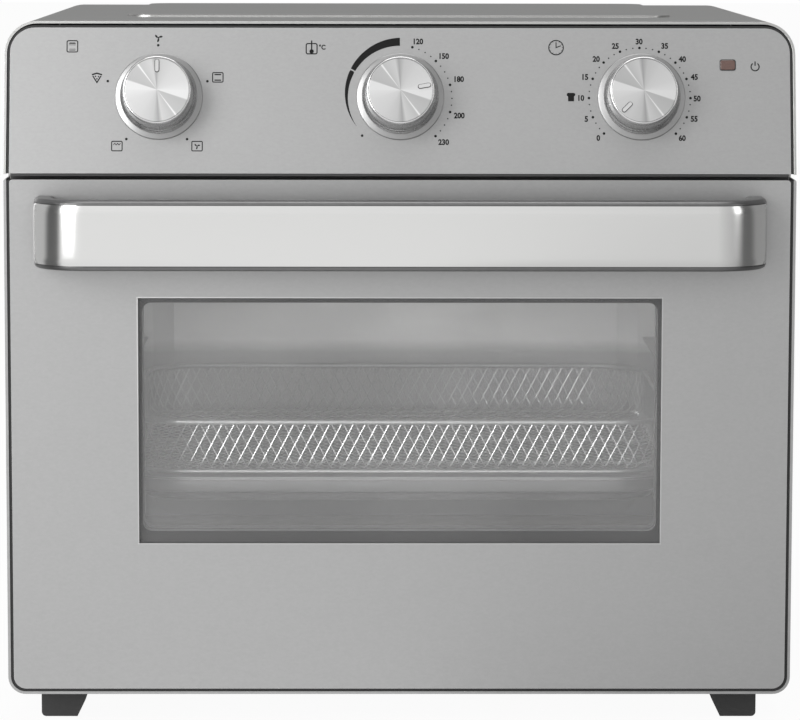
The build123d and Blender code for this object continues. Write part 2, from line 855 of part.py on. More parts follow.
def fan_grille():
    low = cavity_ceiling_z - grille_depth
    radius = fan_bore + 6
    grille = rod_z(0, fan_y, low, low + rail_sheet, radius)
    for ring, count in grille_rings:
        for index in range(count):
            turn = Rot(0, 0, 360 / count * index)
            grille -= Pos(0, fan_y, 0) * turn * Pos(ring, 0, low) * Cylinder(grille_hole, 6)
    skirt = rod_z(0, fan_y, low, cavity_ceiling_z, radius)
    return grille + skirt - rod_z(0, fan_y, low + rail_sheet, ceiling_top, radius - rail_sheet)


def fan_blade():
    low = ceiling_top + 4.0
    blade = rod_z(0, fan_y, low, low + sheet, fan_radius)
    blade += rod_z(0, fan_y, low, low + fan_height, fan_hub)
    vane_length = fan_radius * 0.6
    vane_height = fan_height - 3
    for index in range(fan_blades):
        turn = Pos(0, fan_y, 0) * Rot(0, 0, 360 / fan_blades * index)
        vane = Pos(fan_radius * 0.62, 0, low + sheet / 2 + vane_height / 2)
        blade += turn * vane * Rot(0, 0, 24) * Box(vane_length, rail_sheet, vane_height)
    return blade - rod_z(0, fan_y, low - 1, low + fan_height + 1, shaft_radius + press_room)


def fan_shaft():
    shaft = rod_z(0, fan_y, ceiling_top + 2, motor_low + motor_height + 10, shaft_radius)
    return shaft + rod_z(0, fan_y, motor_low + 5, motor_low + motor_height - 5, rotor_radius)


def fan_motor():
    high = motor_low + motor_height
    half = motor_width / 2
    coil_x = rotor_radius + 9
    motor = level(Pos(0, fan_y) * RectangleRounded(motor_width, motor_width - 8, 4), motor_low, high)
    motor -= rod_z(0, fan_y, motor_low + 4, high - 4, rotor_radius + rotor_gap)
    motor -= rod_z(0, fan_y, motor_low - 1, high + 1, shaft_radius + running_gap)
    motor -= block(-half - 1, -coil_x, fan_y - 13, fan_y + 13, motor_low + 4, high + 1)
    return motor + level(rounded(-half, -coil_x, fan_y - 11, fan_y + 11, 4), motor_low + 4, high - 2)


# Heating elements and the ceramic ends that hold them in the side walls
def heating_elements(rows, z):
    reach = cavity_half + element_reach
    return [rod_x(-reach, reach, y, z, element_radius) for y in rows]


def element_ends():
    ends = []
    for y, z in element_places:
        end = rod_x(cavity_half - 3, cavity_half + sheet, y, z, element_radius + 1.9)
        end += rod_x(cavity_half + sheet, cavity_half + sheet + 6, y, z, element_radius + 4.5)
        end -= rod_x(cavity_half - 4, cavity_half + 10, y, z, element_radius + screw_room)
        ends += both_sides(end)
    return ends


# What slides in the cavity
def tray_outline(half, front, length, corner):
    return rounded(-half, half, front, front + length, corner)


def fry_basket():
    bottom = tray_outline(basket_half, basket_front, basket_length, basket_corner)
    inner_outline = tray_outline(
        basket_half - basket_sheet, basket_front + basket_sheet,
        basket_length - 2 * basket_sheet, basket_corner - basket_sheet)
    basket = level(bottom, basket_low, basket_high - basket_wire)
    basket -= level(inner_outline, basket_low + basket_sheet, basket_high + 1)
    diamond = make_face(Polyline(
        (-diamond_width / 2, 0), (0, -diamond_height / 2), (diamond_width / 2, 0), (0, diamond_height / 2),
        close=True))
    middle_y = basket_front + basket_length / 2
    across = int((basket_half - basket_corner / 2) / diamond_pitch)
    along = int((basket_length / 2 - basket_corner / 2) / diamond_row)
    holes = Sketch() + [
        Pos(column * diamond_pitch, middle_y + row * diamond_row) * diamond
        for column in range(-across, across + 1)
        for row in range(-along, along + 1)
    ]
    basket -= level(holes, basket_low - 1, basket_low + basket_sheet + 1)
    upright_diamond = Pos(0, (basket_low + basket_high) / 2) * Rot(0, 0, 90) * diamond
    wall_count = int((basket_half - basket_corner - diamond_row / 2) / diamond_row)
    for column in range(-wall_count, wall_count + 1):
        hole = Pos(column * diamond_row, 0) * upright_diamond
        basket -= upright(hole, basket_front - 1, basket_front + basket_length + 1)
    ring = level(bottom, pan_high + rest_gap, basket_low)
    ring -= level(
        tray_outline(
            basket_half - basket_ring, basket_front + basket_ring,
            basket_length - 2 * basket_ring, basket_corner - basket_ring),
        pan_high - 1, basket_low + 1)
    return basket + ring


def basket_rim():
    """A round wire bent to the basket's outline, lying on its upper edge."""
    path = Plane(origin=(0, 0, basket_high - basket_wire)) * tray_outline(
        basket_half - basket_sheet / 2, basket_front + basket_sheet / 2,
        basket_length - basket_sheet, basket_corner - basket_sheet / 2)
    wire = path.wire()
    start = wire @ 0
    profile = Plane(origin=start, z_dir=wire % 0) * Circle(basket_wire)
    rim = sweep(profile, path=wire)
    below = block(-half_width, half_width, 0, body_rear, 0, basket_high - basket_wire)
    return rim - below


def baking_pan():
    length = basket_length + 2 * pan_margin
    front = basket_front - pan_margin
    pan = level(tray_outline(pan_half, front, length, basket_corner), pan_high - pan_lip_sheet, pan_high)
    inset = pan_lip
    pan += level(
        tray_outline(pan_half - inset, front + inset, length - 2 * inset, basket_corner - inset),
        pan_low, pan_high)
    inset = pan_lip + sheet
    pan -= level(
        tray_outline(pan_half - inset, front + inset, length - 2 * inset, basket_corner - inset),
        pan_low + sheet, pan_high + 1)
    return pan


def crumb_tray():
    low = cavity_floor_z + rest_gap
    front = frame_back + 6
    tray = level(tray_outline(crumb_half, front, crumb_length, 6.0), low, low + crumb_height)
    tray -= level(
        tray_outline(crumb_half - sheet, front + sheet, crumb_length - 2 * sheet, 5.0),
        low + sheet, low + crumb_height + 1)
    top = low + crumb_height
    grip = block(-crumb_grip, crumb_grip, front - 4, front + sheet, top - sheet, top)
    return tray + grip


os.makedirs("parts", exist_ok=True)

save("outer_wrap", outer_wrap())
save("base_pan", base_pan())
save("back_panel", back_panel())
save("front_frame", front_frame())
save("door_gasket", door_gasket())

save("cavity_floor", cavity_floor())
save("cavity_ceiling", cavity_ceiling())
save("cavity_right_wall", cavity_side_wall())
save("cavity_left_wall", mirror(cavity_side_wall(), about=Plane.YZ))
save("cavity_back_wall", cavity_back_wall())
save("rack_rails", rack_rails())

save("control_panel_plate", panel_plate())
save("control_panel_frame", panel_frame())
save("knob_bezels", [knob_bezel(x) for x in (-knob_pitch, 0, knob_pitch)])
save("indicator_lamp", indicator_lamp())

for name, x, pointer_angle in knobs:
    save(f"{name}_knob", knob_body(x))
    save(f"{name}_knob_cap", knob_cap(x, pointer_angle))
    save(f"{name}_shaft", knob_shaft(x))
save("function_switch", control_body(-knob_pitch, *switch_size))
save("thermostat", control_body(0.0, *thermostat_size))
save("timer_body", control_body(knob_pitch, *timer_size))

save("door_plate", door_plate())
save("door_rim", door_rim())
save("door_liner", door_liner())
save("door_outer_glass", outer_glass())
save("window_retainer", window_retainer())
save("door_inner_shell", inner_shell())
save("door_inner_glass", inner_glass())
save("handle_core", handle_core())
save("handle_strip", handle_strip())
save("handle_screws", handle_screws())
save("hinge_cheeks", hinge_cheeks())
save("hinge_pins", hinge_pins())
save("hinge_brackets", hinge_brackets())

save("front_feet", [foot(-1, foot_front), foot(1, foot_front)])
save("rear_feet", [foot(-1, rear_foot), foot(1, rear_foot)])
save("foot_screws", foot_screws())
save("rear_screws", rear_screws())
save("cord_gland", cord_gland())
save("terminal_block", terminal_block())

save("heat_shield", heat_shield())
save("fan_housing", fan_housing())
save("fan_grille", fan_grille())
save("fan_blade", fan_blade())
save("fan_shaft", fan_shaft())
save("fan_motor", fan_motor())
save("upper_elements", heating_elements(upper_element_y, upper_element_z))
save("lower_elements", heating_elements(lower_element_y, lower_element_z))
save("element_ends", element_ends())

save("fry_basket", fry_basket())
save("basket_rim", basket_rim())
save("baking_pan", baking_pan())
save("crumb_tray", crumb_tray())
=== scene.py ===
import json
import math

import bmesh
import bpy
from mathutils import Matrix, Vector


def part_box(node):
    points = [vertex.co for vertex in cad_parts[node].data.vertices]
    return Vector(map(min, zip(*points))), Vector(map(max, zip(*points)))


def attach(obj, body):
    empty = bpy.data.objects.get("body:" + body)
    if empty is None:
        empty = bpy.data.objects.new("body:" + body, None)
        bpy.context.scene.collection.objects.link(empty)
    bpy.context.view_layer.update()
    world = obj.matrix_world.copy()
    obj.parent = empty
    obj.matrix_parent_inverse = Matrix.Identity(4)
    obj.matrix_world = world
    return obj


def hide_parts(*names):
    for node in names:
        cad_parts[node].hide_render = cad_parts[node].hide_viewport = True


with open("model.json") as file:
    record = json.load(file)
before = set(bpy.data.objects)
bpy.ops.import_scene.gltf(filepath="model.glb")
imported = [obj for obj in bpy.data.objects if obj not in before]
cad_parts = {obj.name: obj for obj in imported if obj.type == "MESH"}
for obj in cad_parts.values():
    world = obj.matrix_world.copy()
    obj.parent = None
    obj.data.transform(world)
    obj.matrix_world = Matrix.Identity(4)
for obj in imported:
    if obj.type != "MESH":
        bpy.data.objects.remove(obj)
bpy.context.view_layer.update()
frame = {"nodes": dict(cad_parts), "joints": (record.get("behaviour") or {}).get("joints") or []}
scene = bpy.context.scene


# The studio: a pale floor that runs out of sight, a broad soft light on the left, weaker ones on the
# right, overhead and low in front, and a camera a little above the oven's top and left of its middle.
door_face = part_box("door_plate")[0].y
camera_data = bpy.data.cameras.new("camera")
camera_data.lens = 175.2
camera_data.clip_end = 60.0
camera = bpy.data.objects.new("camera", camera_data)
camera.location = (-0.0164, door_face - 1.8617, 0.3977)
camera.rotation_euler = (math.radians(83.332), math.radians(-0.1), math.radians(-0.493))
scene.collection.objects.link(camera)
scene.camera = camera
scene.view_settings.view_transform = "Standard"

oven_middle = Vector((0.0, 0.0, 0.17))


def soft_light(name, place, size, power, glossy=True):
    """A rectangular softbox that faces the middle of the oven. One that isn't glossy only fills shade."""
    data = bpy.data.lights.new(name, "AREA")
    data.shape = "RECTANGLE"
    data.size, data.size_y = size
    data.energy = power
    lamp = bpy.data.objects.new(name, data)
    lamp.location = place
    lamp.rotation_euler = (oven_middle - lamp.location).to_track_quat("-Z", "Y").to_euler()
    lamp.visible_glossy = glossy
    scene.collection.objects.link(lamp)


soft_light("key_left", (-1.7, -2.3, 1.0), (1.3, 1.8), 47.0)
soft_light("fill_right", (2.1, -1.9, 0.9), (0.7, 1.4), 5.5)
soft_light("top", (0.0, -0.4, 2.4), (1.6, 1.2), 15.0)
soft_light("front_low", (0.2, -3.4, 0.6), (2.0, 0.9), 9.0, glossy=False)


def feed(tree, source, socket):
    """Links a node's output to a socket, or sets the socket where the source is a plain value."""
    if isinstance(source, bpy.types.NodeSocket):
        tree.links.new(source, socket)
    else:
        socket.default_value = source


def place(tree, kind, *feeds, **values):
    """Adds a node. Its settings and inputs are given by name, or its first inputs in their order."""
    node = tree.nodes.new(kind)
    for name, value in values.items():
        label = name.replace("_", " ")
        if label in node.inputs:
            feed(tree, value, node.inputs[label])
        else:
            setattr(node, name, value)
    for source, socket in zip(feeds, node.inputs):
        feed(tree, source, socket)
    return node


def start_group(name, *sockets):
    """A node group with its sockets, each given as its side, label and kind, and perhaps a default."""
    group = bpy.data.node_groups.new(name, "ShaderNodeTree")
    for side, label, kind, *default in sockets:
        socket = group.interface.new_socket(label, in_out=side, socket_type=f"NodeSocket{kind}")
        if default:
            socket.default_value = default[0]
    return group


def set_ramp(node, stops):
    """Gives a colour ramp its stops, each a spot from 0 to 1 and a grey."""
    made = node.color_ramp.elements
    for index, (spot, shade) in enumerate(stops):
        stop = made[index] if index < 2 else made.new(spot)
        stop.position = spot
        stop.color = (shade, shade, shade, 1.0)


def room_group():
    """How bright the studio is in each direction round the oven, as gloss on its metal shows it."""
    group = start_group("room_shade", ("INPUT", "Toward", "Vector"), ("OUTPUT", "Shade", "Color"))
    entry = place(group, "NodeGroupInput")
    parts = place(group, "ShaderNodeSeparateXYZ", entry.outputs["Toward"])
    depth = place(group, "ShaderNodeMath", parts.outputs["Y"], -1.0, operation="MULTIPLY")
    bearing = place(
        group, "ShaderNodeMath", parts.outputs["X"], depth.outputs[0], operation="ARCTAN2")
    turn = place(
        group, "ShaderNodeMapRange", bearing.outputs[0], From_Min=-math.pi, From_Max=math.pi)
    ramp = place(group, "ShaderNodeValToRGB", turn.outputs["Result"])
    set_ramp(ramp, (
        (0.0, 0.34), (0.1, 0.36), (0.14, 0.6), (0.235, 0.6), (0.27, 0.12), (0.335, 0.1), (0.36, 1.0),
        (0.44, 1.0), (0.506, 1.0), (0.522, 0.8), (0.58, 0.65), (0.63, 0.5), (0.665, 0.12), (0.72, 0.14),
        (0.76, 0.34)))
    place(group, "NodeGroupOutput", ramp.outputs["Color"])
    return group


room_shade = room_group()


def backdrop(tree, toward, share):
    """The backdrop's colour, white where it is seen and the room's shade in gloss, and its share."""
    paths = place(tree, "ShaderNodeLightPath")

    def combine(operation, first, second):
        return place(tree, "ShaderNodeMath", first, second, operation=operation).outputs[0]

    seen = combine("MAXIMUM", paths.outputs["Is Camera Ray"], paths.outputs["Is Transmission Ray"])
    matt = combine("MINIMUM", paths.outputs["Diffuse Depth"], 1.0)
    mirrored = combine("MINIMUM", paths.outputs["Glossy Depth"], 1.0)
    glossy = combine("MAXIMUM", paths.outputs["Is Glossy Ray"], mirrored)
    shown = combine("MULTIPLY", combine("MAXIMUM", seen, glossy), combine("SUBTRACT", 1.0, matt))
    room = place(tree, "ShaderNodeGroup", toward, node_tree=room_shade)
    tint = place(
        tree, "ShaderNodeMix", data_type="RGBA", Factor=glossy, A=(1.0, 1.0, 1.0, 1.0),
        B=room.outputs["Shade"])
    return tint.outputs["Result"], combine("MULTIPLY", shown, share)


world = bpy.data.worlds.new("studio")
world.use_nodes = True
scene.world = world
tree = world.node_tree
tint, shown = backdrop(tree, place(tree, "ShaderNodeTexCoord").outputs["Generated"], 1.0)
ambient = place(tree, "ShaderNodeMix", data_type="RGBA", Factor=shown, A=(0.5, 0.5, 0.5, 1.0), B=tint)
feed(tree, ambient.outputs["Result"], tree.nodes["Background"].inputs["Color"])

floor_half = 14.0
floor_mesh = bpy.data.meshes.new("floor")
bm = bmesh.new()
bmesh.ops.create_grid(bm, x_segments=1, y_segments=1, size=floor_half)
bm.to_mesh(floor_mesh)
bm.free()
floor = bpy.data.objects.new("floor", floor_mesh)
scene.collection.objects.link(floor)
floor_material = bpy.data.materials.new("pale_floor")
floor_material.use_nodes = True
tree = floor_material.node_tree
paint = tree.nodes["Principled BSDF"]
paint.inputs["Base Color"].default_value = (0.9, 0.9, 0.9, 1.0)
paint.inputs["Roughness"].default_value = 0.8
tint, shown = backdrop(tree, place(tree, "ShaderNodeTexCoord").outputs["Object"], 0.95)
glow = place(tree, "ShaderNodeEmission", tint, Strength=1.0)
blend = place(tree, "ShaderNodeMixShader", shown, paint.outputs[0], glow.outputs[0])
feed(tree, blend.outputs[0], tree.nodes["Material Output"].inputs["Surface"])
floor_mesh.materials.append(floor_material)


# The outer wrap. One stainless sheet, belt-ground and folded over the top and both sides, with a
# raised field pressed into the top. It is screwed to the back panel and hooked under the base pan.
def grain_group():
    """Fine streaks left by a grinding belt: a mask from 0 to 1, stretched by a scale on each axis."""
    group = start_group("belt_grain", ("INPUT", "Scale", "Vector"), ("OUTPUT", "Grain", "Float"))
    entry = place(group, "NodeGroupInput")
    where = place(group, "ShaderNodeTexCoord")
    stretch = place(
        group, "ShaderNodeVectorMath", where.outputs["Object"], entry.outputs["Scale"],
        operation="MULTIPLY")
    noise = place(
        group, "ShaderNodeTexNoise", stretch.outputs[0], Scale=1.0, Detail=4.0, Roughness=0.62)
    place(group, "NodeGroupOutput", noise.outputs["Fac"])
    return group


belt_grain = grain_group()


def edge_group():
    """Where an edge is: 0 on the flat, rising to 1 on edges sharper than the given radius."""
    group = start_group("edge_wear_and_highlight", ("INPUT", "Radius", "Float", 0.0006), ("OUTPUT", "Mask", "Float"))
    entry = place(group, "NodeGroupInput")
    bevel = place(group, "ShaderNodeBevel", entry.outputs["Radius"], samples=4)
    flat = place(group, "ShaderNodeNewGeometry")
    match = place(
        group, "ShaderNodeVectorMath", bevel.outputs["Normal"], flat.outputs["Normal"],
        operation="DOT_PRODUCT")
    spread = place(group, "ShaderNodeMapRange", match.outputs["Value"], From_Min=0.995, From_Max=0.85)
    place(group, "NodeGroupOutput", spread.outputs["Result"])
    return group


edge_wear_and_highlight = edge_group()


def handling_group():
    """Broad, faint cloudiness that wiping and handling leave on a sheet: a mask from 0 to 1."""
    group = start_group("wiped_haze", ("INPUT", "Size", "Float", 9.0), ("OUTPUT", "Haze", "Float"))
    entry = place(group, "NodeGroupInput")
    where = place(group, "ShaderNodeTexCoord")
    noise = place(
        group, "ShaderNodeTexNoise", where.outputs["Object"], Scale=entry.outputs["Size"], Detail=5.0,
        Roughness=0.5)
    spread = place(group, "ShaderNodeMapRange", noise.outputs["Fac"], From_Min=0.35, From_Max=0.7)
    place(group, "NodeGroupOutput", spread.outputs["Result"])
    return group


wiped_haze = handling_group()


def triple(value):
    """Three numbers, for a colour or the axes, where one stands for all three."""
    return (value, value, value) if isinstance(value, float) else value


def finish(name, low, high, metallic, roughness, grain, bump=0.05, edge=None, haze=0.04, **sockets):
    """A surface whose colour and gloss run between two values along its grain, under a faint haze."""
    material = bpy.data.materials.new(name)
    material.use_nodes = True
    tree = material.node_tree
    shader = tree.nodes["Principled BSDF"]
    shader.inputs["Metallic"].default_value = metallic
    for socket, value in sockets.items():
        shader.inputs[socket.replace("_", " ")].default_value = value
    streaks = place(tree, "ShaderNodeGroup", node_tree=belt_grain, Scale=triple(grain)).outputs["Grain"]
    color = place(
        tree, "ShaderNodeMix", data_type="RGBA", Factor=streaks, A=(*triple(low), 1.0),
        B=(*triple(high), 1.0)).outputs["Result"]
    # Edges take the lighter edge colour: partly wear, partly a painted highlight along them.
    if edge is not None:
        edge_marks = place(tree, "ShaderNodeGroup", node_tree=edge_wear_and_highlight)
        color = place(
            tree, "ShaderNodeMix", data_type="RGBA", Factor=edge_marks.outputs["Mask"], A=color,
            B=(*triple(edge), 1.0)).outputs["Result"]
    wiped = place(tree, "ShaderNodeGroup", node_tree=wiped_haze)
    gloss = place(tree, "ShaderNodeMapRange", streaks, To_Min=roughness[0], To_Max=roughness[1])
    dull = place(
        tree, "ShaderNodeMath", wiped.outputs["Haze"], haze, gloss.outputs["Result"],
        operation="MULTIPLY_ADD")
    relief = place(tree, "ShaderNodeBump", Strength=bump, Distance=0.0003, Height=streaks)
    feed(tree, color, shader.inputs["Base Color"])
    feed(tree, dull.outputs[0], shader.inputs["Roughness"])
    feed(tree, relief.outputs["Normal"], shader.inputs["Normal"])
    return material


def dress(material, *nodes, edge=0.0):
    """Gives CAD nodes their finish, and breaks their sharp edges by a small round."""
    for name in nodes:
        piece = frame["nodes"][name]
        piece.data.materials.clear()
        piece.data.materials.append(material)
        if edge > 0.0:
            weld = piece.modifiers.new("weld", "WELD")
            weld.merge_threshold = 0.00001
            round_over = piece.modifiers.new("round_over", "BEVEL")
            round_over.width = edge
            round_over.segments = 2
            round_over.limit_method = "ANGLE"
            round_over.angle_limit = math.radians(40.0)
            smooth = piece.modifiers.new("smooth", "WEIGHTED_NORMAL")
            smooth.keep_sharp = True


wrap_steel = finish(
    "wrap_steel", (0.40, 0.40, 0.395), (0.5, 0.5, 0.49), 1.0, (0.3, 0.4), (900.0, 60.0, 900.0),
    edge=(0.62, 0.62, 0.61))
dress(wrap_steel, "outer_wrap", edge=0.0003)


# The back panel and base pan. Zinc-plated sheet with punched vents, held by screws round the edge.
# The heat shield, hinge parts and crumb tray inside are the same sheet.
zinc_sheet = finish(
    "zinc_sheet", (0.4, 0.41, 0.42), (0.54, 0.55, 0.56), 0.85, (0.38, 0.55), 70.0, edge=0.65, haze=0.1)
dress(zinc_sheet, "back_panel", "base_pan", "heat_shield", "hinge_brackets", "hinge_cheeks", "fan_blade")
dress(zinc_sheet, "crumb_tray", edge=0.0003)
screw_steel = finish("screw_steel", 0.5, 0.66, 1.0, (0.25, 0.4), 400.0)
dress(screw_steel, "handle_screws", "foot_screws", "hinge_pins", "fan_shaft")
dress(screw_steel, "function_shaft", "temperature_shaft", "timer_shaft")
# Near black for shade: painted shade in screw recesses, round the knobs' discs and under their pointers.
recess_painted_shade = finish("recess_painted_shade", 0.012, 0.02, 0.2, (0.5, 0.7), 900.0)


def piece_of(name, bm, body, *materials, stands_for=(), slot=None, matrix=None):
    """Makes an object of a mesh, smooth over soft bends, and lets it ride on a body."""
    bmesh.ops.recalc_face_normals(bm, faces=bm.faces)
    mesh = bpy.data.meshes.new(name)
    bm.to_mesh(mesh)
    bm.free()
    for polygon in mesh.polygons:
        polygon.use_smooth = True
    mesh.set_sharp_from_angle(angle=math.radians(38.0))
    for material in materials:
        mesh.materials.append(material)
    piece = bpy.data.objects.new(name, mesh)
    if matrix is not None:
        piece.matrix_world = matrix
    scene.collection.objects.link(piece)
    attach(piece, body)
    if stands_for:
        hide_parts(*stands_for)
    return piece


def skin(bm, rings, closed=False, material=0):
    """Joins each ring of points to the next by faces. A ring may also be a single point."""
    for one, other in zip(rings, rings[1:] + (rings[:1] if closed else [])):
        count = max(len(one), len(other))
        for step in range(count):
            after = (step + 1) % count
            corners = [one[step % len(one)], one[after % len(one)]]
            corners += [other[after % len(other)], other[step % len(other)]]
            corners = list(dict.fromkeys(corners))
            if len(corners) > 2:
                bm.faces.new(corners).material_index = material


def turn_profile(bm, profile, matrix=Matrix(), segments=96, material=0):
    """Turns a profile of (radius, height) points in millimetres about the local Z axis."""
    rings = []
    for radius, height in profile:
        count = segments if radius > 0.0 else 1
        angles = [math.tau * step / count for step in range(count)]
        spots = [Vector((radius * math.cos(angle), radius * math.sin(angle), height)) for angle in angles]
        rings.append([bm.verts.new(matrix @ (spot / 1000)) for spot in spots])
    skin(bm, rings, material=material)


def raise_outline(bm, outline, low, high, matrix=Matrix(), material=0):
    """Gives a flat outline of (x, y) millimetres its thickness from z = low to z = high."""
    below, above = (
        [bm.verts.new(matrix @ Vector((x / 1000, y / 1000, level / 1000))) for x, y in outline]
        for level in (low, high))
    bm.faces.new(above).material_index = material
    bm.faces.new(below[::-1]).material_index = material
    skin(bm, [below, above], material=material)


screw_head = ((0.0, 0.0), (4.0, 0.0), (4.0, 0.6), (3.7, 1.4), (2.9, 1.95), (1.6, 2.15), (0.0, 2.18))
head_radius = 0.004
recess_half, recess_width_half, recess_floor, recess_top = 1.9, 0.35, 1.5, 2.19
screw_columns = 4
low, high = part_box("rear_screws")
row_length = high.x - low.x - 2 * head_radius
facing_back = Vector((0, 1, 0)).to_track_quat("Z", "Y").to_matrix().to_4x4()
centres = [
    (low.x + head_radius + row_length * column / (screw_columns - 1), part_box("back_panel")[1].y, z)
    for column in range(screw_columns) for z in (low.z + head_radius, high.z - head_radius)]
bm = bmesh.new()
for index, centre in enumerate(centres):
    spin = Matrix.Rotation(math.radians(17.0 + 47.0 * index), 4, "Z")
    seat = Matrix.Translation(centre) @ facing_back @ spin
    turn_profile(bm, screw_head, seat, segments=32)
    # Each cross recess is a near-black block set into the head: painted shade.
    for half_x, half_y in ((recess_half, recess_width_half), (recess_width_half, recess_half)):
        slot = [(-half_x, -half_y), (half_x, -half_y), (half_x, half_y), (-half_x, half_y)]
        raise_outline(bm, slot, recess_floor, recess_top, seat, material=1)
piece_of(
    "rear_panel_screws", bm, "root", screw_steel, recess_painted_shade, stands_for=("rear_screws",),
    slot="screw_steel")


# The front frame, the door's inner shell and the window retainer. Pressed steel under a satin black
# enamel that stands the heat, with the silicone gasket clipped round the mouth.
black_enamel = finish(
    "black_enamel", (0.05, 0.05, 0.051), (0.075, 0.075, 0.077), 0.0, (0.3, 0.42), 260.0, edge=0.12,
    Coat_Weight=0.2)
dress(black_enamel, "front_frame", "window_retainer")
dress(black_enamel, "door_inner_shell", edge=0.0004)
seal_rubber = finish("seal_rubber", 0.02, 0.04, 0.0, (0.55, 0.75), 900.0)
dress(seal_rubber, "door_gasket", edge=0.0008)


# The cavity. Aluminised sheet walls welded behind the front frame, the back one with a pressed
# rectangle and darker below the basket's height, painted shade, the fan's housing over the ceiling,
# its grille below.
cavity_grain = (40.0, 40.0, 90.0)
cavity_sheet = finish(
    "cavity_sheet", (0.42, 0.42, 0.415), (0.52, 0.52, 0.515), 0.6, (0.28, 0.42), cavity_grain, haze=0.08)
dress(cavity_sheet, "cavity_ceiling", "cavity_right_wall", "cavity_left_wall")
dress(cavity_sheet, "fan_housing", "fan_grille", edge=0.0003)
# The cavity's sheet drawn near black on the floor: painted shade.
floor_sheet_painted_shade = finish(
    "floor_sheet_painted_shade", (0.06, 0.06, 0.059), (0.1, 0.1, 0.098), 0.6, (0.3, 0.45), cavity_grain, haze=0.08)
dress(floor_sheet_painted_shade, "cavity_floor")
# The back wall's copy of the cavity's sheet, about twice as light with lighter edges: painted light.
back_sheet_painted_light = finish(
    "back_sheet_painted_light", (0.84, 0.84, 0.83), (0.92, 0.92, 0.91), 0.6, (0.28, 0.42), cavity_grain, edge=0.85,
    haze=0.08)
dress(back_sheet_painted_light, "cavity_back_wall", edge=0.0015)
# Below 150 mm the back wall's colour falls to 42 per cent of itself: painted shade.
shade_top, lit_from, shade_share = 0.15, 0.157, 0.42
tree = back_sheet_painted_light.node_tree
base_color = tree.nodes["Principled BSDF"].inputs["Base Color"]
where = place(tree, "ShaderNodeTexCoord")
heights = place(tree, "ShaderNodeSeparateXYZ", where.outputs["Object"])
shade_ramp = place(
    tree, "ShaderNodeMapRange", heights.outputs["Z"], From_Min=shade_top, From_Max=lit_from,
    To_Min=shade_share, To_Max=1.0)
painted_shade_below = place(
    tree, "ShaderNodeVectorMath", base_color.links[0].from_socket, operation="SCALE",
    Scale=shade_ramp.outputs["Result"])
feed(tree, painted_shade_below.outputs[0], base_color)
rail_steel = finish("rail_steel", 0.4, 0.5, 0.8, (0.25, 0.4), (300.0, 30.0, 300.0))
dress(rail_steel, "rack_rails", edge=0.0003)


# Switches, motor and heating elements. Moulded resin bodies behind the panel, white glazed ceramic
# where wires and elements end, a laminated iron stack, and steel-sheathed rods blued by heat.
brown_resin = finish("brown_resin", (0.2, 0.09, 0.04), (0.28, 0.14, 0.07), 0.0, (0.4, 0.55), 500.0)
dress(brown_resin, "function_switch", "thermostat", "timer_body", edge=0.0005)
white_ceramic = finish("white_ceramic", (0.76, 0.75, 0.71), (0.86, 0.85, 0.82), 0.0, (0.25, 0.4), 600.0)
dress(white_ceramic, "terminal_block", "element_ends", edge=0.0004)
motor_steel = finish(
    "motor_steel", (0.2, 0.21, 0.22), (0.3, 0.31, 0.32), 0.8, (0.4, 0.55), (80.0, 80.0, 2500.0))
dress(motor_steel, "fan_motor")
element_sheath = finish(
    "element_sheath", (0.14, 0.13, 0.115), (0.24, 0.22, 0.2), 0.6, (0.4, 0.6), (90.0, 500.0, 500.0))
dress(element_sheath, "upper_elements", "lower_elements")


# The control panel. A satin stainless plate let into a black moulded surround, which shows as a thin
# line along its edges. The cord's gland at the back and the door's liner are the same moulding.
face_grain = (500.0, 900.0, 900.0)
face_steel = finish(
    "face_steel", 0.345, 0.405, 0.9, (0.37, 0.45), face_grain, bump=0.03, edge=0.5, haze=0.03)
dress(face_steel, "control_panel_plate", edge=0.0003)
black_moulding = finish("black_moulding", 0.008, 0.014, 0.0, (0.4, 0.55), 1400.0)
dress(black_moulding, "control_panel_frame", "cord_gland", edge=0.0003)
dress(black_moulding, "door_liner")

dials = {joint["name"]: joint for joint in frame["joints"]}


def dial_seat(joint):
    """The place on the panel where a knob turns, with Z pointing out of the panel and Y up it."""
    outward = Vector(dials[joint]["axis"]).normalized()
    if outward.y > 0:
        outward.negate()
    across = Vector((1.0, 0.0, 0.0))
    turned = Matrix((across, outward.cross(across), outward)).transposed().to_4x4()
    return Matrix.Translation(dials[joint]["pos_m"]) @ turned


# The print on the panel. Black pad-printed ink: the scales' dots and numbers, the temperature band
# that tapers towards the off dot, and plain signs for the functions, heat, time and power. Places
# are millimetres from the panel's middle and up from its lower edge.
panel_ink = finish(
    "panel_ink", 0.006, 0.012, 0.0, (0.55, 0.7), 2000.0, bump=0.0, Specular_IOR_Level=0.15)
ink = bmesh.new()
ink_low, ink_high = -0.02, 0.05
centre_up = 38.1


def shift(points, x, up, turn=0.0, size=1.0):
    """Moves a sign drawn about its own middle to its place on the panel."""
    c, s = math.cos(math.radians(turn)), math.sin(math.radians(turn))
    return [(x + size * (px * c - py * s), up - centre_up + size * (px * s + py * c)) for px, py in points]


def fill(points, x, up, turn=0.0, size=1.0):
    """A printed area inside an outline."""
    raise_outline(ink, shift(points, x, up, turn, size), ink_low, ink_high)


def bow(radius, start, end, steps=18):
    """Points on a circle from one angle to another, in degrees."""
    angles = [math.radians(start + (end - start) * step / steps) for step in range(steps + 1)]
    return [(radius * math.cos(angle), radius * math.sin(angle)) for angle in angles]


def disc(radius, sides=20):
    """The outline of a dot."""
    angles = [math.tau * step / sides for step in range(sides)]
    return [(radius * math.cos(angle), radius * math.sin(angle)) for angle in angles]


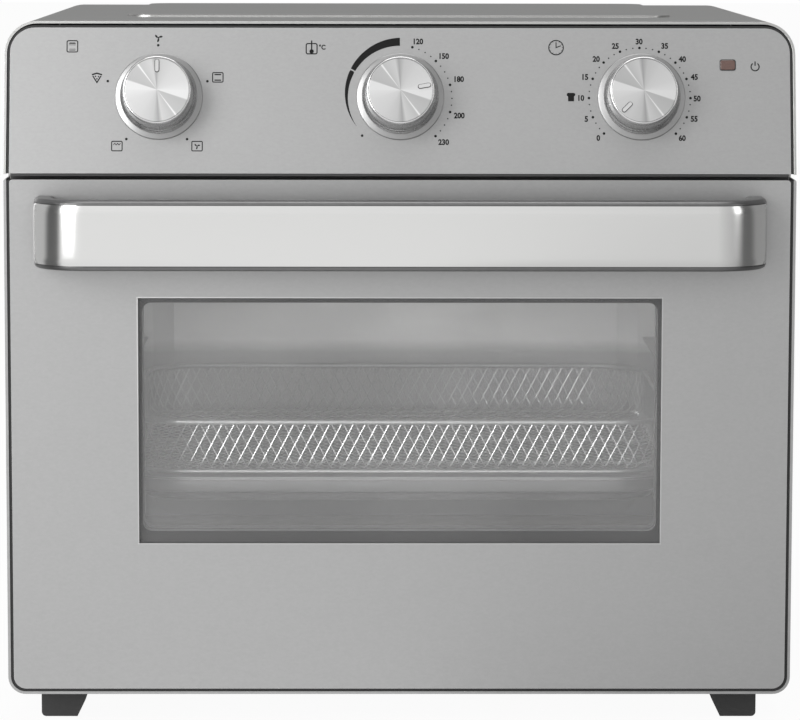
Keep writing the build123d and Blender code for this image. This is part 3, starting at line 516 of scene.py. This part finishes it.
def line(points, width, x, up, closed=False):
    """A printed line of even width through the points, with mitred corners."""
    points = [Vector(point) for point in shift(points, x, up)]
    least_mitre = 0.35
    count = len(points)
    rings = []
    for step, here in enumerate(points):
        away = (points[(step + 1) % count] - here).normalized()
        into = (here - points[step - 1]).normalized()
        if not closed and step == 0:
            into = away
        if not closed and step == count - 1:
            away = into
        mean = (into + away).normalized()
        side = Vector((-mean.y, mean.x)) * (width / 2) / max(least_mitre, mean.dot(away))
        left, right = here + side, here - side
        rings.append([
            ink.verts.new((rim.x / 1000, rim.y / 1000, level / 1000))
            for rim, level in ((left, ink_high), (right, ink_high), (right, ink_low), (left, ink_low))])
    skin(ink, rings, closed)
    if not closed:
        ink.faces.new(rings[0])
        ink.faces.new(rings[-1])


def number(text, x, up, height):
    """A printed number, set upright about its middle and drawn a little narrow and bold."""
    narrow = 0.92
    curve = bpy.data.curves.new("numeral", "FONT")
    curve.body = text
    curve.align_x = "CENTER"
    curve.offset = 0.04
    curve.resolution_u = 3
    holder = bpy.data.objects.new("numeral", curve)
    mesh = bpy.data.meshes.new_from_object(holder)
    low = Vector([min(v.co[axis] for v in mesh.vertices) for axis in range(3)])
    high = Vector([max(v.co[axis] for v in mesh.vertices) for axis in range(3)])
    size = height / (high.y - low.y)
    middle = (low + high) / 2
    flat = bmesh.new()
    flat.from_mesh(mesh)
    bmesh.ops.remove_doubles(flat, verts=flat.verts, dist=0.0001)
    grown = bmesh.ops.extrude_face_region(flat, geom=list(flat.faces))
    risen = {v for v in grown["geom"] if isinstance(v, bmesh.types.BMVert)}
    for v in flat.verts:
        v.co = (
            (x + (v.co.x - middle.x) * size * narrow) / 1000,
            (up - centre_up + (v.co.y - middle.y) * size) / 1000,
            (ink_high if v in risen else ink_low) / 1000)
    flat.to_mesh(mesh)
    flat.free()
    ink.from_mesh(mesh)
    bpy.data.meshes.remove(mesh)
    bpy.data.objects.remove(holder)
    bpy.data.curves.remove(curve)


mark_dot, minor_dot, setting_dot = 0.64, 0.33, 0.62


def scale_dots(centre_x, marks, minor_count):
    """A dot at each mark and smaller dots between neighbours, all on one circle."""
    for x, up in marks:
        fill(disc(mark_dot), x, up)
    for pair in zip(marks, marks[1:]):
        (a1, r1), (a2, r2) = (
            (math.atan2(up - centre_up, x - centre_x), math.hypot(up - centre_up, x - centre_x))
            for x, up in pair)
        if a2 > a1:
            a2 -= math.tau
        for step in range(1, minor_count + 1):
            share = step / (minor_count + 1)
            angle, radius = a1 + (a2 - a1) * share, r1 + (r2 - r1) * share
            x, up = centre_x + radius * math.cos(angle), centre_up + radius * math.sin(angle)
            fill(disc(minor_dot), x, up)


function_dots = ((-116.3, 63.0), (-140.4, 45.5), (-92.6, 45.5), (-131.3, 17.4), (-102.2, 17.4))
heat_off_dot = (-18.3, 19.2)
for x, up in (*function_dots, heat_off_dot):
    fill(disc(setting_dot), x, up)
heat_marks = ((5.8, 62.2), (17.1, 55.5), (23.9, 43.9), (23.9, 30.7), (16.9, 19.0))
scale_dots(0.0, heat_marks, 3)
timer_x, timer_up, timer_circle = 115.0, 37.6, 24.4
minute_angles = [math.radians(-135.0 + 22.5 * step) for step in range(13)]
minute_marks = [
    (timer_x + timer_circle * math.sin(angle), timer_up + timer_circle * math.cos(angle))
    for angle in minute_angles]
scale_dots(timer_x, minute_marks, 2)
numeral_height = 2.9
heat_numbers = (
    ("120", 8.7, 65.0), ("150", 21.1, 57.9), ("180", 28.3, 46.7), ("200", 28.3, 29.0), ("230", 20.8, 16.1))
minute_numbers = (
    ("0", 95.0, 18.2), ("5", 89.3, 27.4), ("10", 86.9, 37.6), ("15", 88.9, 47.8), ("20", 94.2, 56.6),
    ("25", 103.4, 62.9), ("30", 114.9, 65.1), ("35", 127.2, 63.0), ("40", 135.6, 56.6),
    ("45", 141.3, 47.9), ("50", 142.6, 37.4), ("55", 141.1, 27.5), ("60", 135.3, 18.2))
for text, x, up in heat_numbers + minute_numbers:
    number(text, x, up, numeral_height)


def heat_band(start, end, draw_in, steps=28):
    """Part of the tapering band, between two angles in degrees back from the top."""
    outside, inside, sweep = 28.7, 24.8, 125.0
    outer, inner = [], []
    for step in range(steps + 1):
        back = start + (end - start) * step / steps
        angle = math.radians(90.0 + back)
        far = outside - 3.3 * (back / sweep) ** 1.3
        near = inside + 0.6 * (back / sweep) ** 1.6
        if step == 0:
            far, near = far - draw_in, near + draw_in
        outer.append((far * math.cos(angle), far * math.sin(angle)))
        inner.append((near * math.cos(angle), near * math.sin(angle)))
    fill(outer + inner[::-1], 0.0, centre_up)


heat_band(0.4, 60.0, 0.0)
heat_band(61.4, 124.4, 0.25)


def rounded_square(half_x, half_y, corner, steps=4):
    """The outline of a sign with rounded corners."""
    points = []
    for index, (sx, sy) in enumerate(((1, 1), (-1, 1), (-1, -1), (1, -1))):
        for step in range(steps + 1):
            angle = math.radians(90.0 * index + 90.0 * step / steps)
            points.append((
                sx * (half_x - corner) + corner * math.cos(angle),
                sy * (half_y - corner) + corner * math.sin(angle)))
    return points


fine, even, bold = 0.22, 0.49, 0.57

oven_sign = (-157.5, 62.4)
line(rounded_square(2.55, 2.75, 0.7), even, *oven_sign, closed=True)
fill([(-1.7, 1.25), (1.7, 1.25), (1.35, 1.85), (-1.35, 1.85)], *oven_sign)
line([(-1.6, 0.7), (1.6, 0.7)], fine, *oven_sign)
for row in (-1.35, -1.95):
    line([(-1.5, row), (1.5, row)], fine, *oven_sign)

thermometer_sign = (-42.6, 61.4)
line(rounded_square(2.6, 2.5, 0.8), 0.54, *thermometer_sign, closed=True)
line([(0.0, -1.2), (0.0, 4.0)], 0.62, *thermometer_sign)
fill(disc(1.05), -42.6, 60.1)
number("°C", -37.5, 62.2, 2.6)

clock_sign = (74.9, 62.1)
line(bow(3.5, 0.0, 350.0, 35), even, *clock_sign, closed=True)
line([(0.0, 2.6), (0.0, 0.0), (2.3, 0.9)], 0.46, *clock_sign)
for angle in range(0, 360, 30):
    c, s = math.cos(math.radians(angle)), math.sin(math.radians(angle))
    line([(2.75 * c, 2.75 * s), (3.3 * c, 3.3 * s)], 0.2, *clock_sign)

toast_sign = (82.0, 38.0)
fill([
    (-1.45, -2.0), (1.45, -2.0), (1.45, 0.3), (2.1, 0.9), (1.95, 1.8), (1.2, 2.1), (-1.2, 2.1),
    (-1.95, 1.8), (-2.1, 0.9), (-1.45, 0.3)], *toast_sign)

power_sign = (170.6, 52.9)
line(bow(1.95, 125.0, 415.0), bold, *power_sign)
line([(0.0, 0.5), (0.0, 2.6)], bold, *power_sign)


def fan_sign(x, up, size):
    """Three curved vanes round a hub: moving air."""
    fill(disc(0.5), x, up, size=size)
    vane = [(0.45, 0.5), (1.2, 0.75), (2.1, 0.55), (2.7, -0.1), (2.1, -0.45), (1.3, -0.4), (0.6, -0.15)]
    for turn in (20.0, 140.0, 260.0):
        fill(vane, x, up, turn=turn, size=size)


fan_sign(-116.2, 66.6, 0.82)

slice_x, slice_up = -145.6, 47.4
fill([(-2.6, 1.5), (0.0, 2.3), (2.6, 1.5), (2.3, 0.9), (0.0, 1.6), (-2.3, 0.9)], slice_x, slice_up)
line([(-2.0, 0.7), (0.0, -2.6), (2.0, 0.7)], 0.54, slice_x, slice_up)
for x, up in ((-0.7, 0.4), (0.75, 0.25), (0.0, -0.8)):
    fill(disc(0.36), slice_x + x, slice_up + up)

bake_sign, grill_sign, convection_sign = (-87.6, 47.4), (-135.8, 14.0), (-97.4, 14.0)
for sign in (bake_sign, grill_sign, convection_sign):
    line(rounded_square(2.5, 2.3, 0.5), even, *sign, closed=True)
for row in (1.35, -1.35):
    line([(-1.6, row), (1.6, row)], bold, *bake_sign)
line([(-1.7 + 0.68 * step, 1.35 if step % 2 else 0.55) for step in range(6)], 0.34, *grill_sign)
fan_sign(*convection_sign, 0.6)
piece_of("panel_print", ink, "root", panel_ink, slot="black_plastic", matrix=dial_seat("temperature_turn"))


# The power lamp. A small red lens of moulded resin, dark when off, in a thin dark metal frame that is
# pressed into the plate. The body behind the plate is the same red resin.
lamp_red = finish(
    "lamp_red", (0.07, 0.038, 0.03), (0.125, 0.065, 0.052), 0.0, (0.15, 0.25), 900.0, Coat_Weight=0.6)
dress(lamp_red, "indicator_lamp")
lamp_frame = finish("lamp_frame", 0.06, 0.09, 0.9, (0.25, 0.35), 600.0)
lamp_x, lamp_up = 157.4, 53.7
frame_levels = (
    (3.95, 2.75, 1.1, -0.02), (3.95, 2.75, 1.1, 0.2), (3.35, 2.15, 0.8, 0.35), (3.35, 2.15, 0.8, -0.02))
lens_levels = (
    (3.35, 2.15, 0.8, -2.0), (3.35, 2.15, 0.8, 0.25), (2.9, 1.75, 0.6, 0.5), (1.8, 0.9, 0.3, 0.56))
bm = bmesh.new()
frame_rings, lens_rings = (
    [[bm.verts.new((x / 1000, y / 1000, level / 1000)) for x, y in rounded_square(half_x, half_y, corner)]
     for half_x, half_y, corner, level in levels]
    for levels in (frame_levels, lens_levels))
skin(bm, frame_rings, closed=True)
skin(bm, lens_rings, material=1)
bm.faces.new(lens_rings[-1]).material_index = 1
bm.faces.new(lens_rings[0][::-1]).material_index = 1
lamp_place = Matrix.Translation((lamp_x / 1000, (lamp_up - centre_up) / 1000, 0))
piece_of(
    "power_lamp", bm, "root", lamp_frame, lamp_red, slot="lamp_lens",
    matrix=dial_seat("temperature_turn") @ lamp_place)


# The knobs. Satin moulded bodies on turned bezels, each with a spun aluminium disc in a bright rim on
# its face, and a small raised bar that points to the scale.
satin_silver = finish("satin_silver", 0.54, 0.56, 0.95, (0.25, 0.27), 300.0, bump=0.0, haze=0.02)
bright_rim = finish("bright_rim", 0.66, 0.7, 1.0, (0.07, 0.1), 300.0, bump=0.0, haze=0.02)
bezel_silver = finish("bezel_silver", 0.33, 0.35, 0.95, (0.3, 0.32), 300.0, bump=0.0, haze=0.02)


def spun_group():
    """What turning leaves on a disc, fine rings, and a painted reflection: bright and dull fans on both
    sides.
    """
    group = start_group("spun_rings_and_painted_fans", ("OUTPUT", "Rings", "Float"), ("OUTPUT", "Fans", "Color"))
    where = place(group, "ShaderNodeTexCoord").outputs["Object"]
    flat = place(group, "ShaderNodeVectorMath", where, (1.0, 1.0, 0.0), operation="MULTIPLY")
    reach = place(group, "ShaderNodeVectorMath", flat.outputs[0], operation="LENGTH")
    rings = place(
        group, "ShaderNodeTexNoise", noise_dimensions="1D", W=reach.outputs["Value"], Scale=9000.0,
        Detail=2.0)
    sweep = place(group, "ShaderNodeTexGradient", where, gradient_type="RADIAL")
    twice = place(group, "ShaderNodeMath", sweep.outputs["Fac"], 2.0, operation="MULTIPLY")
    half = place(group, "ShaderNodeMath", twice.outputs[0], operation="FRACT")
    fans = place(group, "ShaderNodeValToRGB", half.outputs[0])
    # The fans' greys, with their thin bright and dark lines, are a painted reflection of the studio's
    # lights.
    set_ramp(fans, (
        (0.0, 0.62), (0.12, 0.56), (0.3, 0.53), (0.46, 0.47), (0.52, 0.33), (0.56, 0.52), (0.69, 0.45),
        (0.705, 0.76), (0.72, 0.45), (0.89, 0.42), (0.905, 0.64), (1.0, 0.64)))
    place(group, "NodeGroupOutput", rings.outputs["Fac"], fans.outputs["Color"])
    return group


spun_disc = bpy.data.materials.new("spun_disc")
spun_disc.use_nodes = True
tree = spun_disc.node_tree
shader = tree.nodes["Principled BSDF"]
shader.inputs["Metallic"].default_value = 1.0
marks = place(tree, "ShaderNodeGroup", node_tree=spun_group())
gloss = place(tree, "ShaderNodeMapRange", marks.outputs["Rings"], To_Min=0.42, To_Max=0.5)
relief = place(tree, "ShaderNodeBump", Strength=0.02, Distance=0.0001, Height=marks.outputs["Rings"])
# The disc's colour is the painted reflection of the fans.
feed(tree, marks.outputs["Fans"], shader.inputs["Base Color"])
feed(tree, gloss.outputs["Result"], shader.inputs["Roughness"])
feed(tree, relief.outputs["Normal"], shader.inputs["Normal"])

bezel_profile = (
    (7.0, 0.0), (21.0, 0.0), (21.0, 0.75), (20.85, 0.95), (20.6, 1.02), (18.4, 1.4), (18.1, 1.46),
    (17.8, 1.6), (7.0, 1.6), (7.0, 0.0))
knob_profile = (
    (0.0, 2.0), (16.8, 2.0), (18.2, 2.15), (18.5, 2.6), (18.5, 4.2), (18.2, 4.75), (17.5, 5.1),
    (17.1, 5.6), (16.95, 6.6), (16.55, 15.0), (16.4, 16.3), (16.1, 16.75), (15.7, 16.9), (15.4, 16.95),
    (15.4, 18.4), (0.0, 18.4))
rim_profile = (
    (15.1, 18.0), (16.0, 18.05), (16.3, 18.3), (16.35, 18.75), (16.15, 19.2), (15.8, 19.42),
    (15.5, 19.4), (15.4, 19.2), (15.38, 18.0), (15.1, 18.0))
groove_profile = ((15.39, 18.7), (15.2, 18.7))
collar_profile = ((15.5, 16.9), (15.5, 18.2))
disc_profile = (
    (15.32, 18.6), (15.3, 19.12), (15.22, 19.18), (15.1, 19.2), (14.9, 19.2), (14.0, 19.2), (0.0, 19.2))
disc_seat, pointer_shadow_top, pointer_top = 19.0, 19.24, 19.9
pointer_out = 0.0115
rest_angles = {"function": 0.0, "temperature": 80.0, "timer": -135.0}
bm = bmesh.new()
for control in rest_angles:
    turn_profile(bm, bezel_profile, dial_seat(f"{control}_turn"))
piece_of("bezel_rings", bm, "root", bezel_silver, stands_for=("knob_bezels",), slot="knob_silver")
for control, rest_angle in rest_angles.items():
    seat = dial_seat(f"{control}_turn")
    body = f"{control}_control"
    bm = bmesh.new()
    turn_profile(bm, knob_profile)
    piece_of(
        f"{control}_knob_body", bm, body, satin_silver, stands_for=(f"{control}_knob",),
        slot="knob_silver", matrix=seat)
    bm = bmesh.new()
    turn_profile(bm, rim_profile)
    # The groove round the disc and the collar under the rim are near black: painted shade.
    turn_profile(bm, groove_profile, material=2)
    turn_profile(bm, collar_profile, material=2)
    turn_profile(bm, disc_profile, material=1)
    pointer = Matrix.Rotation(math.radians(-rest_angle), 4, "Z")
    pointer @= Matrix.Translation((0.0, pointer_out, 0.0))
    raise_outline(bm, rounded_square(1.15, 3.2, 1.1), disc_seat, pointer_shadow_top, pointer, material=2)
    raise_outline(bm, rounded_square(0.85, 2.9, 0.8), disc_seat, pointer_top, pointer)
    piece_of(
        f"{control}_knob_face", bm, body, bright_rim, spun_disc, recess_painted_shade,
        stands_for=(f"{control}_knob_cap",), slot="knob_spun", matrix=seat)


# The door. The stainless face is glued to a black liner inside a silver rim, with the window's cut edge
# turned in and drawn lighter than the face, a painted highlight. The rim folds round the door's sides
# and bottom.
# The panel's stainless drawn about 7 per cent lighter for the door: painted light.
door_steel_painted_light = finish(
    "door_steel_painted_light", 0.371, 0.436, 0.9, (0.37, 0.45), face_grain, bump=0.03, edge=0.5, haze=0.03)
dress(door_steel_painted_light, "door_plate", edge=0.0003)
rim_silver = finish("rim_silver", 0.36, 0.44, 0.9, (0.28, 0.38), 300.0)
dress(rim_silver, "door_rim", edge=0.0003)
cut_edge_highlight = finish("cut_edge_highlight", 0.48, 0.56, 0.7, (0.3, 0.4), 900.0, bump=0.0)
window_half, window_low, window_high = 0.126, 0.0907, 0.2099
turned_in = ((0.0, 0.0009), (0.0, -0.00012), (0.00022, -0.0002), (0.0005, -0.00012), (0.0006, 0.0002))
bm = bmesh.new()
rings = []
for spread, depth in turned_in:
    half, low, high = window_half + spread, window_low - spread, window_high + spread
    corners = ((-half, low), (half, low), (half, high), (-half, high))
    rings.append([bm.verts.new((x, door_face + depth, z)) for x, z in corners])
skin(bm, rings, closed=True)
piece_of("window_edge", bm, "door", cut_edge_highlight, slot="face_steel")


# The window. Two panes of tempered glass, the outer one behind the door's face and the inner one in the
# black shell. Steam and wiping leave a faint milky film between them.
def pane(name, film, ior):
    """Clear glass with a share of milky film, which lets the studio light through to what is behind."""
    material = bpy.data.materials.new(name)
    material.use_nodes = True
    tree = material.node_tree
    shader = tree.nodes["Principled BSDF"]
    shader.inputs["Base Color"].default_value = (0.96, 0.96, 0.96, 1.0)
    shader.inputs["Metallic"].default_value = 0.0
    shader.inputs["Roughness"].default_value = 0.02
    shader.inputs["IOR"].default_value = ior
    shader.inputs["Transmission Weight"].default_value = 1.0
    milk = place(tree, "ShaderNodeBsdfDiffuse", (0.8, 0.8, 0.8, 1.0))
    cloud = place(tree, "ShaderNodeGroup", node_tree=wiped_haze, Size=14.0)
    amount = place(
        tree, "ShaderNodeMapRange", cloud.outputs["Haze"], To_Min=film * 0.85, To_Max=film * 1.15)
    filmed = place(
        tree, "ShaderNodeMixShader", amount.outputs["Result"], shader.outputs[0], milk.outputs[0])
    paths = place(tree, "ShaderNodeLightPath")
    clear = place(tree, "ShaderNodeBsdfTransparent", (0.93, 0.93, 0.93, 1.0))
    blend = place(
        tree, "ShaderNodeMixShader", paths.outputs["Is Shadow Ray"], filmed.outputs[0], clear.outputs[0])
    feed(tree, blend.outputs[0], tree.nodes["Material Output"].inputs["Surface"])
    return material


dress(pane("outer_pane", 0.072, 1.5), "door_outer_glass")
dress(pane("inner_pane", 0.004, 1.15), "door_inner_glass")


# The handle. A grey metallic moulding on two legs, held from inside the door, with a polished steel
# strip let into its face that is slightly crowned and follows the bends at both ends.
handle_grey = finish("handle_grey", 0.14, 0.19, 0.85, (0.28, 0.36), 300.0, bump=0.0)
dress(handle_grey, "handle_core")
polished_strip = finish(
    "polished_strip", (0.70, 0.70, 0.695), (0.73, 0.73, 0.72), 1.0, (0.12, 0.17), (60.0, 60.0, 900.0),
    bump=0.0, haze=0.05)
low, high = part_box("handle_strip")
handle_half, handle_front = 0.1755, low.y
bend, wrap, bend_steps = 0.026, math.radians(74.0), 24
strip_middle = (low.z + high.z) / 2
strip_half = (high.z - low.z) / 2
strip_thick = 0.0016
crown, edge_round, crown_steps = 0.16, 0.6, 16
path = []
for side in (-1, 1):
    arc = []
    for step in range(bend_steps + 1):
        angle = wrap * step / bend_steps
        spot = Vector((
            side * (handle_half - bend + bend * math.sin(angle)),
            handle_front + bend * (1 - math.cos(angle)), 0.0))
        arc.append((spot, Vector((side * math.sin(angle), -math.cos(angle), 0.0))))
    path += arc[::-1] if side < 0 else arc
section = []
for step in range(crown_steps + 1):
    height = -1.0 + 2.0 * step / crown_steps
    inset = crown * height ** 2 + edge_round * abs(height) ** 18
    section.append((-inset / 1000, height * strip_half))
section += [(-strip_thick, strip_half * 0.995), (-strip_thick, -strip_half * 0.995)]
bm = bmesh.new()
rows = [
    [bm.verts.new(spot + outward * inset + Vector((0, 0, strip_middle + height)))
     for inset, height in section]
    for spot, outward in path]
skin(bm, rows)
bm.faces.new(rows[0])
bm.faces.new(rows[-1][::-1])
piece_of("handle_face_strip", bm, "door", polished_strip, stands_for=("handle_strip",), slot="handle_polish")


# The feet. Two pairs of moulded plastic blocks, drawn in towards the middle of the oven. Each is
# screwed up into the base pan from below.
foot_plastic = finish("foot_plastic", 0.022, 0.04, 0.0, (0.5, 0.65), 1500.0, edge=0.07)
dress(foot_plastic, "front_feet", "rear_feet", edge=0.0005)


# The fry basket. Expanded wire mesh, two families of slanting strands that cross as diamonds, bent up
# at the sides and hooked over a rim wire, with a stouter wire round its foot.
bright_wire = finish("bright_wire", 0.46, 0.53, 0.75, (0.26, 0.34), 300.0, bump=0.0)
low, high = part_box("fry_basket")
rim_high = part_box("basket_rim")[1].z
mesh_inset = 0.0006
basket_half = high.x - mesh_inset
basket_front, basket_back = low.y + mesh_inset, high.y - mesh_inset
basket_middle = (basket_front + basket_back) / 2
basket_length = basket_back - basket_front
basket_corner = 0.0314
fold = 0.004
mesh_low = low.z + 0.0034
straight_x = 2 * (basket_half - basket_corner)
straight_y = basket_length - 2 * basket_corner
quarter = math.pi / 2 * basket_corner
perimeter = 2 * straight_x + 2 * straight_y + 4 * quarter
side_starts = (
    (straight_x, -straight_x / 2, basket_front), (straight_y, basket_half, basket_front + basket_corner),
    (straight_x, straight_x / 2, basket_back), (straight_y, -basket_half, basket_back - basket_corner))
corner_middles = (
    (straight_x / 2, basket_front + basket_corner), (straight_x / 2, basket_back - basket_corner),
    (-straight_x / 2, basket_back - basket_corner), (-straight_x / 2, basket_front + basket_corner))


def on_outline(along):
    """A point on the basket's outline and its outward direction, at a distance from the front's middle."""
    along = (along + straight_x / 2) % perimeter
    for index, (length, x, y) in enumerate(side_starts):
        heading = math.radians(90.0 * index - 90.0)
        if along <= length:
            outward = Vector((math.cos(heading), math.sin(heading), 0.0))
            forward = Vector((-outward.y, outward.x, 0.0))
            return Vector((x, y, 0.0)) + forward * along, outward
        along -= length
        if along <= quarter or index == 3:
            angle = heading + along / basket_corner
            outward = Vector((math.cos(angle), math.sin(angle), 0.0))
            return Vector((*corner_middles[index], 0.0)) + outward * basket_corner, outward
        along -= quarter


diamond_width, diamond_height = 5.885, 11.3
slope = diamond_width / diamond_height
strand_width, strand_thick, strand_lap = 0.0005, 0.00036, 0.0002


def strand(bm, spots, flats):
    """A flat wire through the spots; flats gives the direction that its broad face looks in."""
    rings = []
    for index, (spot, flat) in enumerate(zip(spots, flats)):
        ahead = spots[min(index + 1, len(spots) - 1)] - spots[max(index - 1, 0)]
        side = ahead.cross(flat).normalized() * strand_width / 2
        rise = flat.normalized() * strand_thick / 2
        rings.append([
            bm.verts.new(spot + side + rise), bm.verts.new(spot - side + rise),
            bm.verts.new(spot - side - rise), bm.verts.new(spot + side - rise)])
    skin(bm, rings)
    bm.faces.new(rings[0])
    bm.faces.new(rings[-1][::-1])


rim_drop = 0.0014
strand_count, wall_steps, wall_tilt = 164, 10, 0.4
wall_top = rim_high - rim_drop
wall_drop = wall_top - (mesh_low + fold)
bm = bmesh.new()
for family in (-1, 1):
    for index in range(strand_count):
        start = perimeter * (index + 0.25) / strand_count
        spots, flats = [], []
        for step in range(wall_steps + 1):
            down = (wall_drop + fold * math.pi / 2) * step / wall_steps
            spot, outward = on_outline(start + family * slope * down)
            turned = max(0.0, down - wall_drop) / fold
            inset = fold * (1 - math.cos(turned))
            height = wall_top - min(down, wall_drop) - fold * math.sin(turned)
            spots.append(spot - outward * (inset + strand_lap * family) + Vector((0, 0, height)))
            along = Vector((-outward.y, outward.x, 0.0))
            flat = outward * math.cos(turned) - Vector((0, 0, math.sin(turned)))
            flats.append((flat - along * wall_tilt).normalized())
        strand(bm, spots, flats)


def inside_outline(x, y, margin):
    """True where a point lies within the basket's outline, drawn in by a margin."""
    over_x = max(0.0, abs(x) - (basket_half - basket_corner))
    over_y = max(0.0, abs(y - basket_middle) - basket_length / 2 + basket_corner)
    return math.hypot(over_x, over_y) <= basket_corner - margin


floor_steps = 240
floor_flat = Vector((0.35, 0.0, 1.0)).normalized()
floor_overlap = 0.0004
pitch = diamond_width / 1000
lines = int((2 * basket_half + slope * basket_length) / pitch) + 2
for family in (-1, 1):
    for index in range(-lines, lines):
        samples = []
        for step in range(floor_steps + 1):
            y = basket_front + basket_length * step / floor_steps
            x = index * pitch + family * slope * (y - basket_front)
            if inside_outline(x, y, fold - floor_overlap):
                samples.append(Vector((x, y, mesh_low + strand_lap * family)))
        if len(samples) > 3:
            strand(bm, [samples[0], samples[-1]], [floor_flat, floor_flat])
piece_of("basket_mesh", bm, "basket", bright_wire, stands_for=("fry_basket",), slot="bright_wire")


def bar(bm, spots, outwards, radius, sides=10, closed=True):
    """A round wire through level spots, which it joins into a ring when closed."""
    angles = [math.tau * step / sides for step in range(sides)]
    rings = [
        [bm.verts.new(
            spot + outward * radius * math.cos(angle) + Vector((0, 0, radius * math.sin(angle))))
         for angle in angles]
        for spot, outward in zip(spots, outwards)]
    skin(bm, rings, closed)


rim_radius, foot_radius, cross_radius = 0.0013, 0.0011, 0.0009
foot_up = Vector((0, 0, mesh_low - 0.0016))
rim_steps = 160
rim_spots = [on_outline(perimeter * step / rim_steps) for step in range(rim_steps)]
outwards = [outward for spot, outward in rim_spots]
bm = bmesh.new()
bar(bm, [spot + Vector((0, 0, wall_top)) for spot, outward in rim_spots], outwards, rim_radius)
bar(
    bm, [spot - outward * (fold + strand_lap) + foot_up for spot, outward in rim_spots], outwards,
    foot_radius)
reach = basket_half - fold - mesh_inset
for row in (-0.35, 0.0, 0.35):
    y = basket_middle + row * basket_length
    ends = [Vector((x, y, 0)) + foot_up for x in (-reach, reach)]
    bar(bm, ends, [Vector((0, 1, 0)), Vector((0, 1, 0))], cross_radius, closed=False)
piece_of("basket_frame_wires", bm, "basket", bright_wire, stands_for=("basket_rim",), slot="bright_wire")


# The baking pan under the basket. Pressed steel sheet under a grey non-stick coat, with a flat lip that
# rests on the rails, a shallow upright wall and a rounded step in to the bottom.
pan_coat = finish("pan_coat", 0.2, 0.26, 0.6, (0.25, 0.34), 400.0, edge=0.5)
# The pan below its bead is drawn near black: painted shade.
pan_painted_shade = finish("pan_painted_shade", 0.05, 0.08, 0.2, (0.4, 0.55), 400.0)
low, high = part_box("baking_pan")
pan_profile = [
    (0.0, 0.0), (0.0, -1.1), (0.5, -1.5), (4.4, -1.5), (5.0, -2.1), (5.1, -7.2), (5.5, -7.9),
    (6.3, -8.3), (9.5, -8.6), (10.6, -9.4), (11.2, -11.8), (12.2, -12.9), (14.0, -13.2)]
pan_sheet = 0.9
wall_row, shade_row, bottom_row = 5, 8, len(pan_profile) - 1
inside = [(inset + pan_sheet, drop + pan_sheet) for inset, drop in pan_profile[wall_row:][::-1]]
pan_spread = high.x - basket_half
bm = bmesh.new()
rows = []
for inset, drop in (*pan_profile, *inside, (5.4, 0.0)):
    level = Vector((0, 0, high.z + drop / 1000))
    rows.append([
        bm.verts.new(spot + outward * (pan_spread - inset / 1000) + level)
        for spot, outward in rim_spots])
skin(bm, rows[:shade_row + 1])
skin(bm, rows[shade_row:bottom_row + 1], material=1)
skin(bm, rows[bottom_row + 1:] + rows[:1])
bm.faces.new(rows[bottom_row]).material_index = 1
bm.faces.new(rows[bottom_row + 1][::-1])
piece_of("pan_shell", bm, "pan", pan_coat, pan_painted_shade, stands_for=("baking_pan",), slot="pan_enamel")
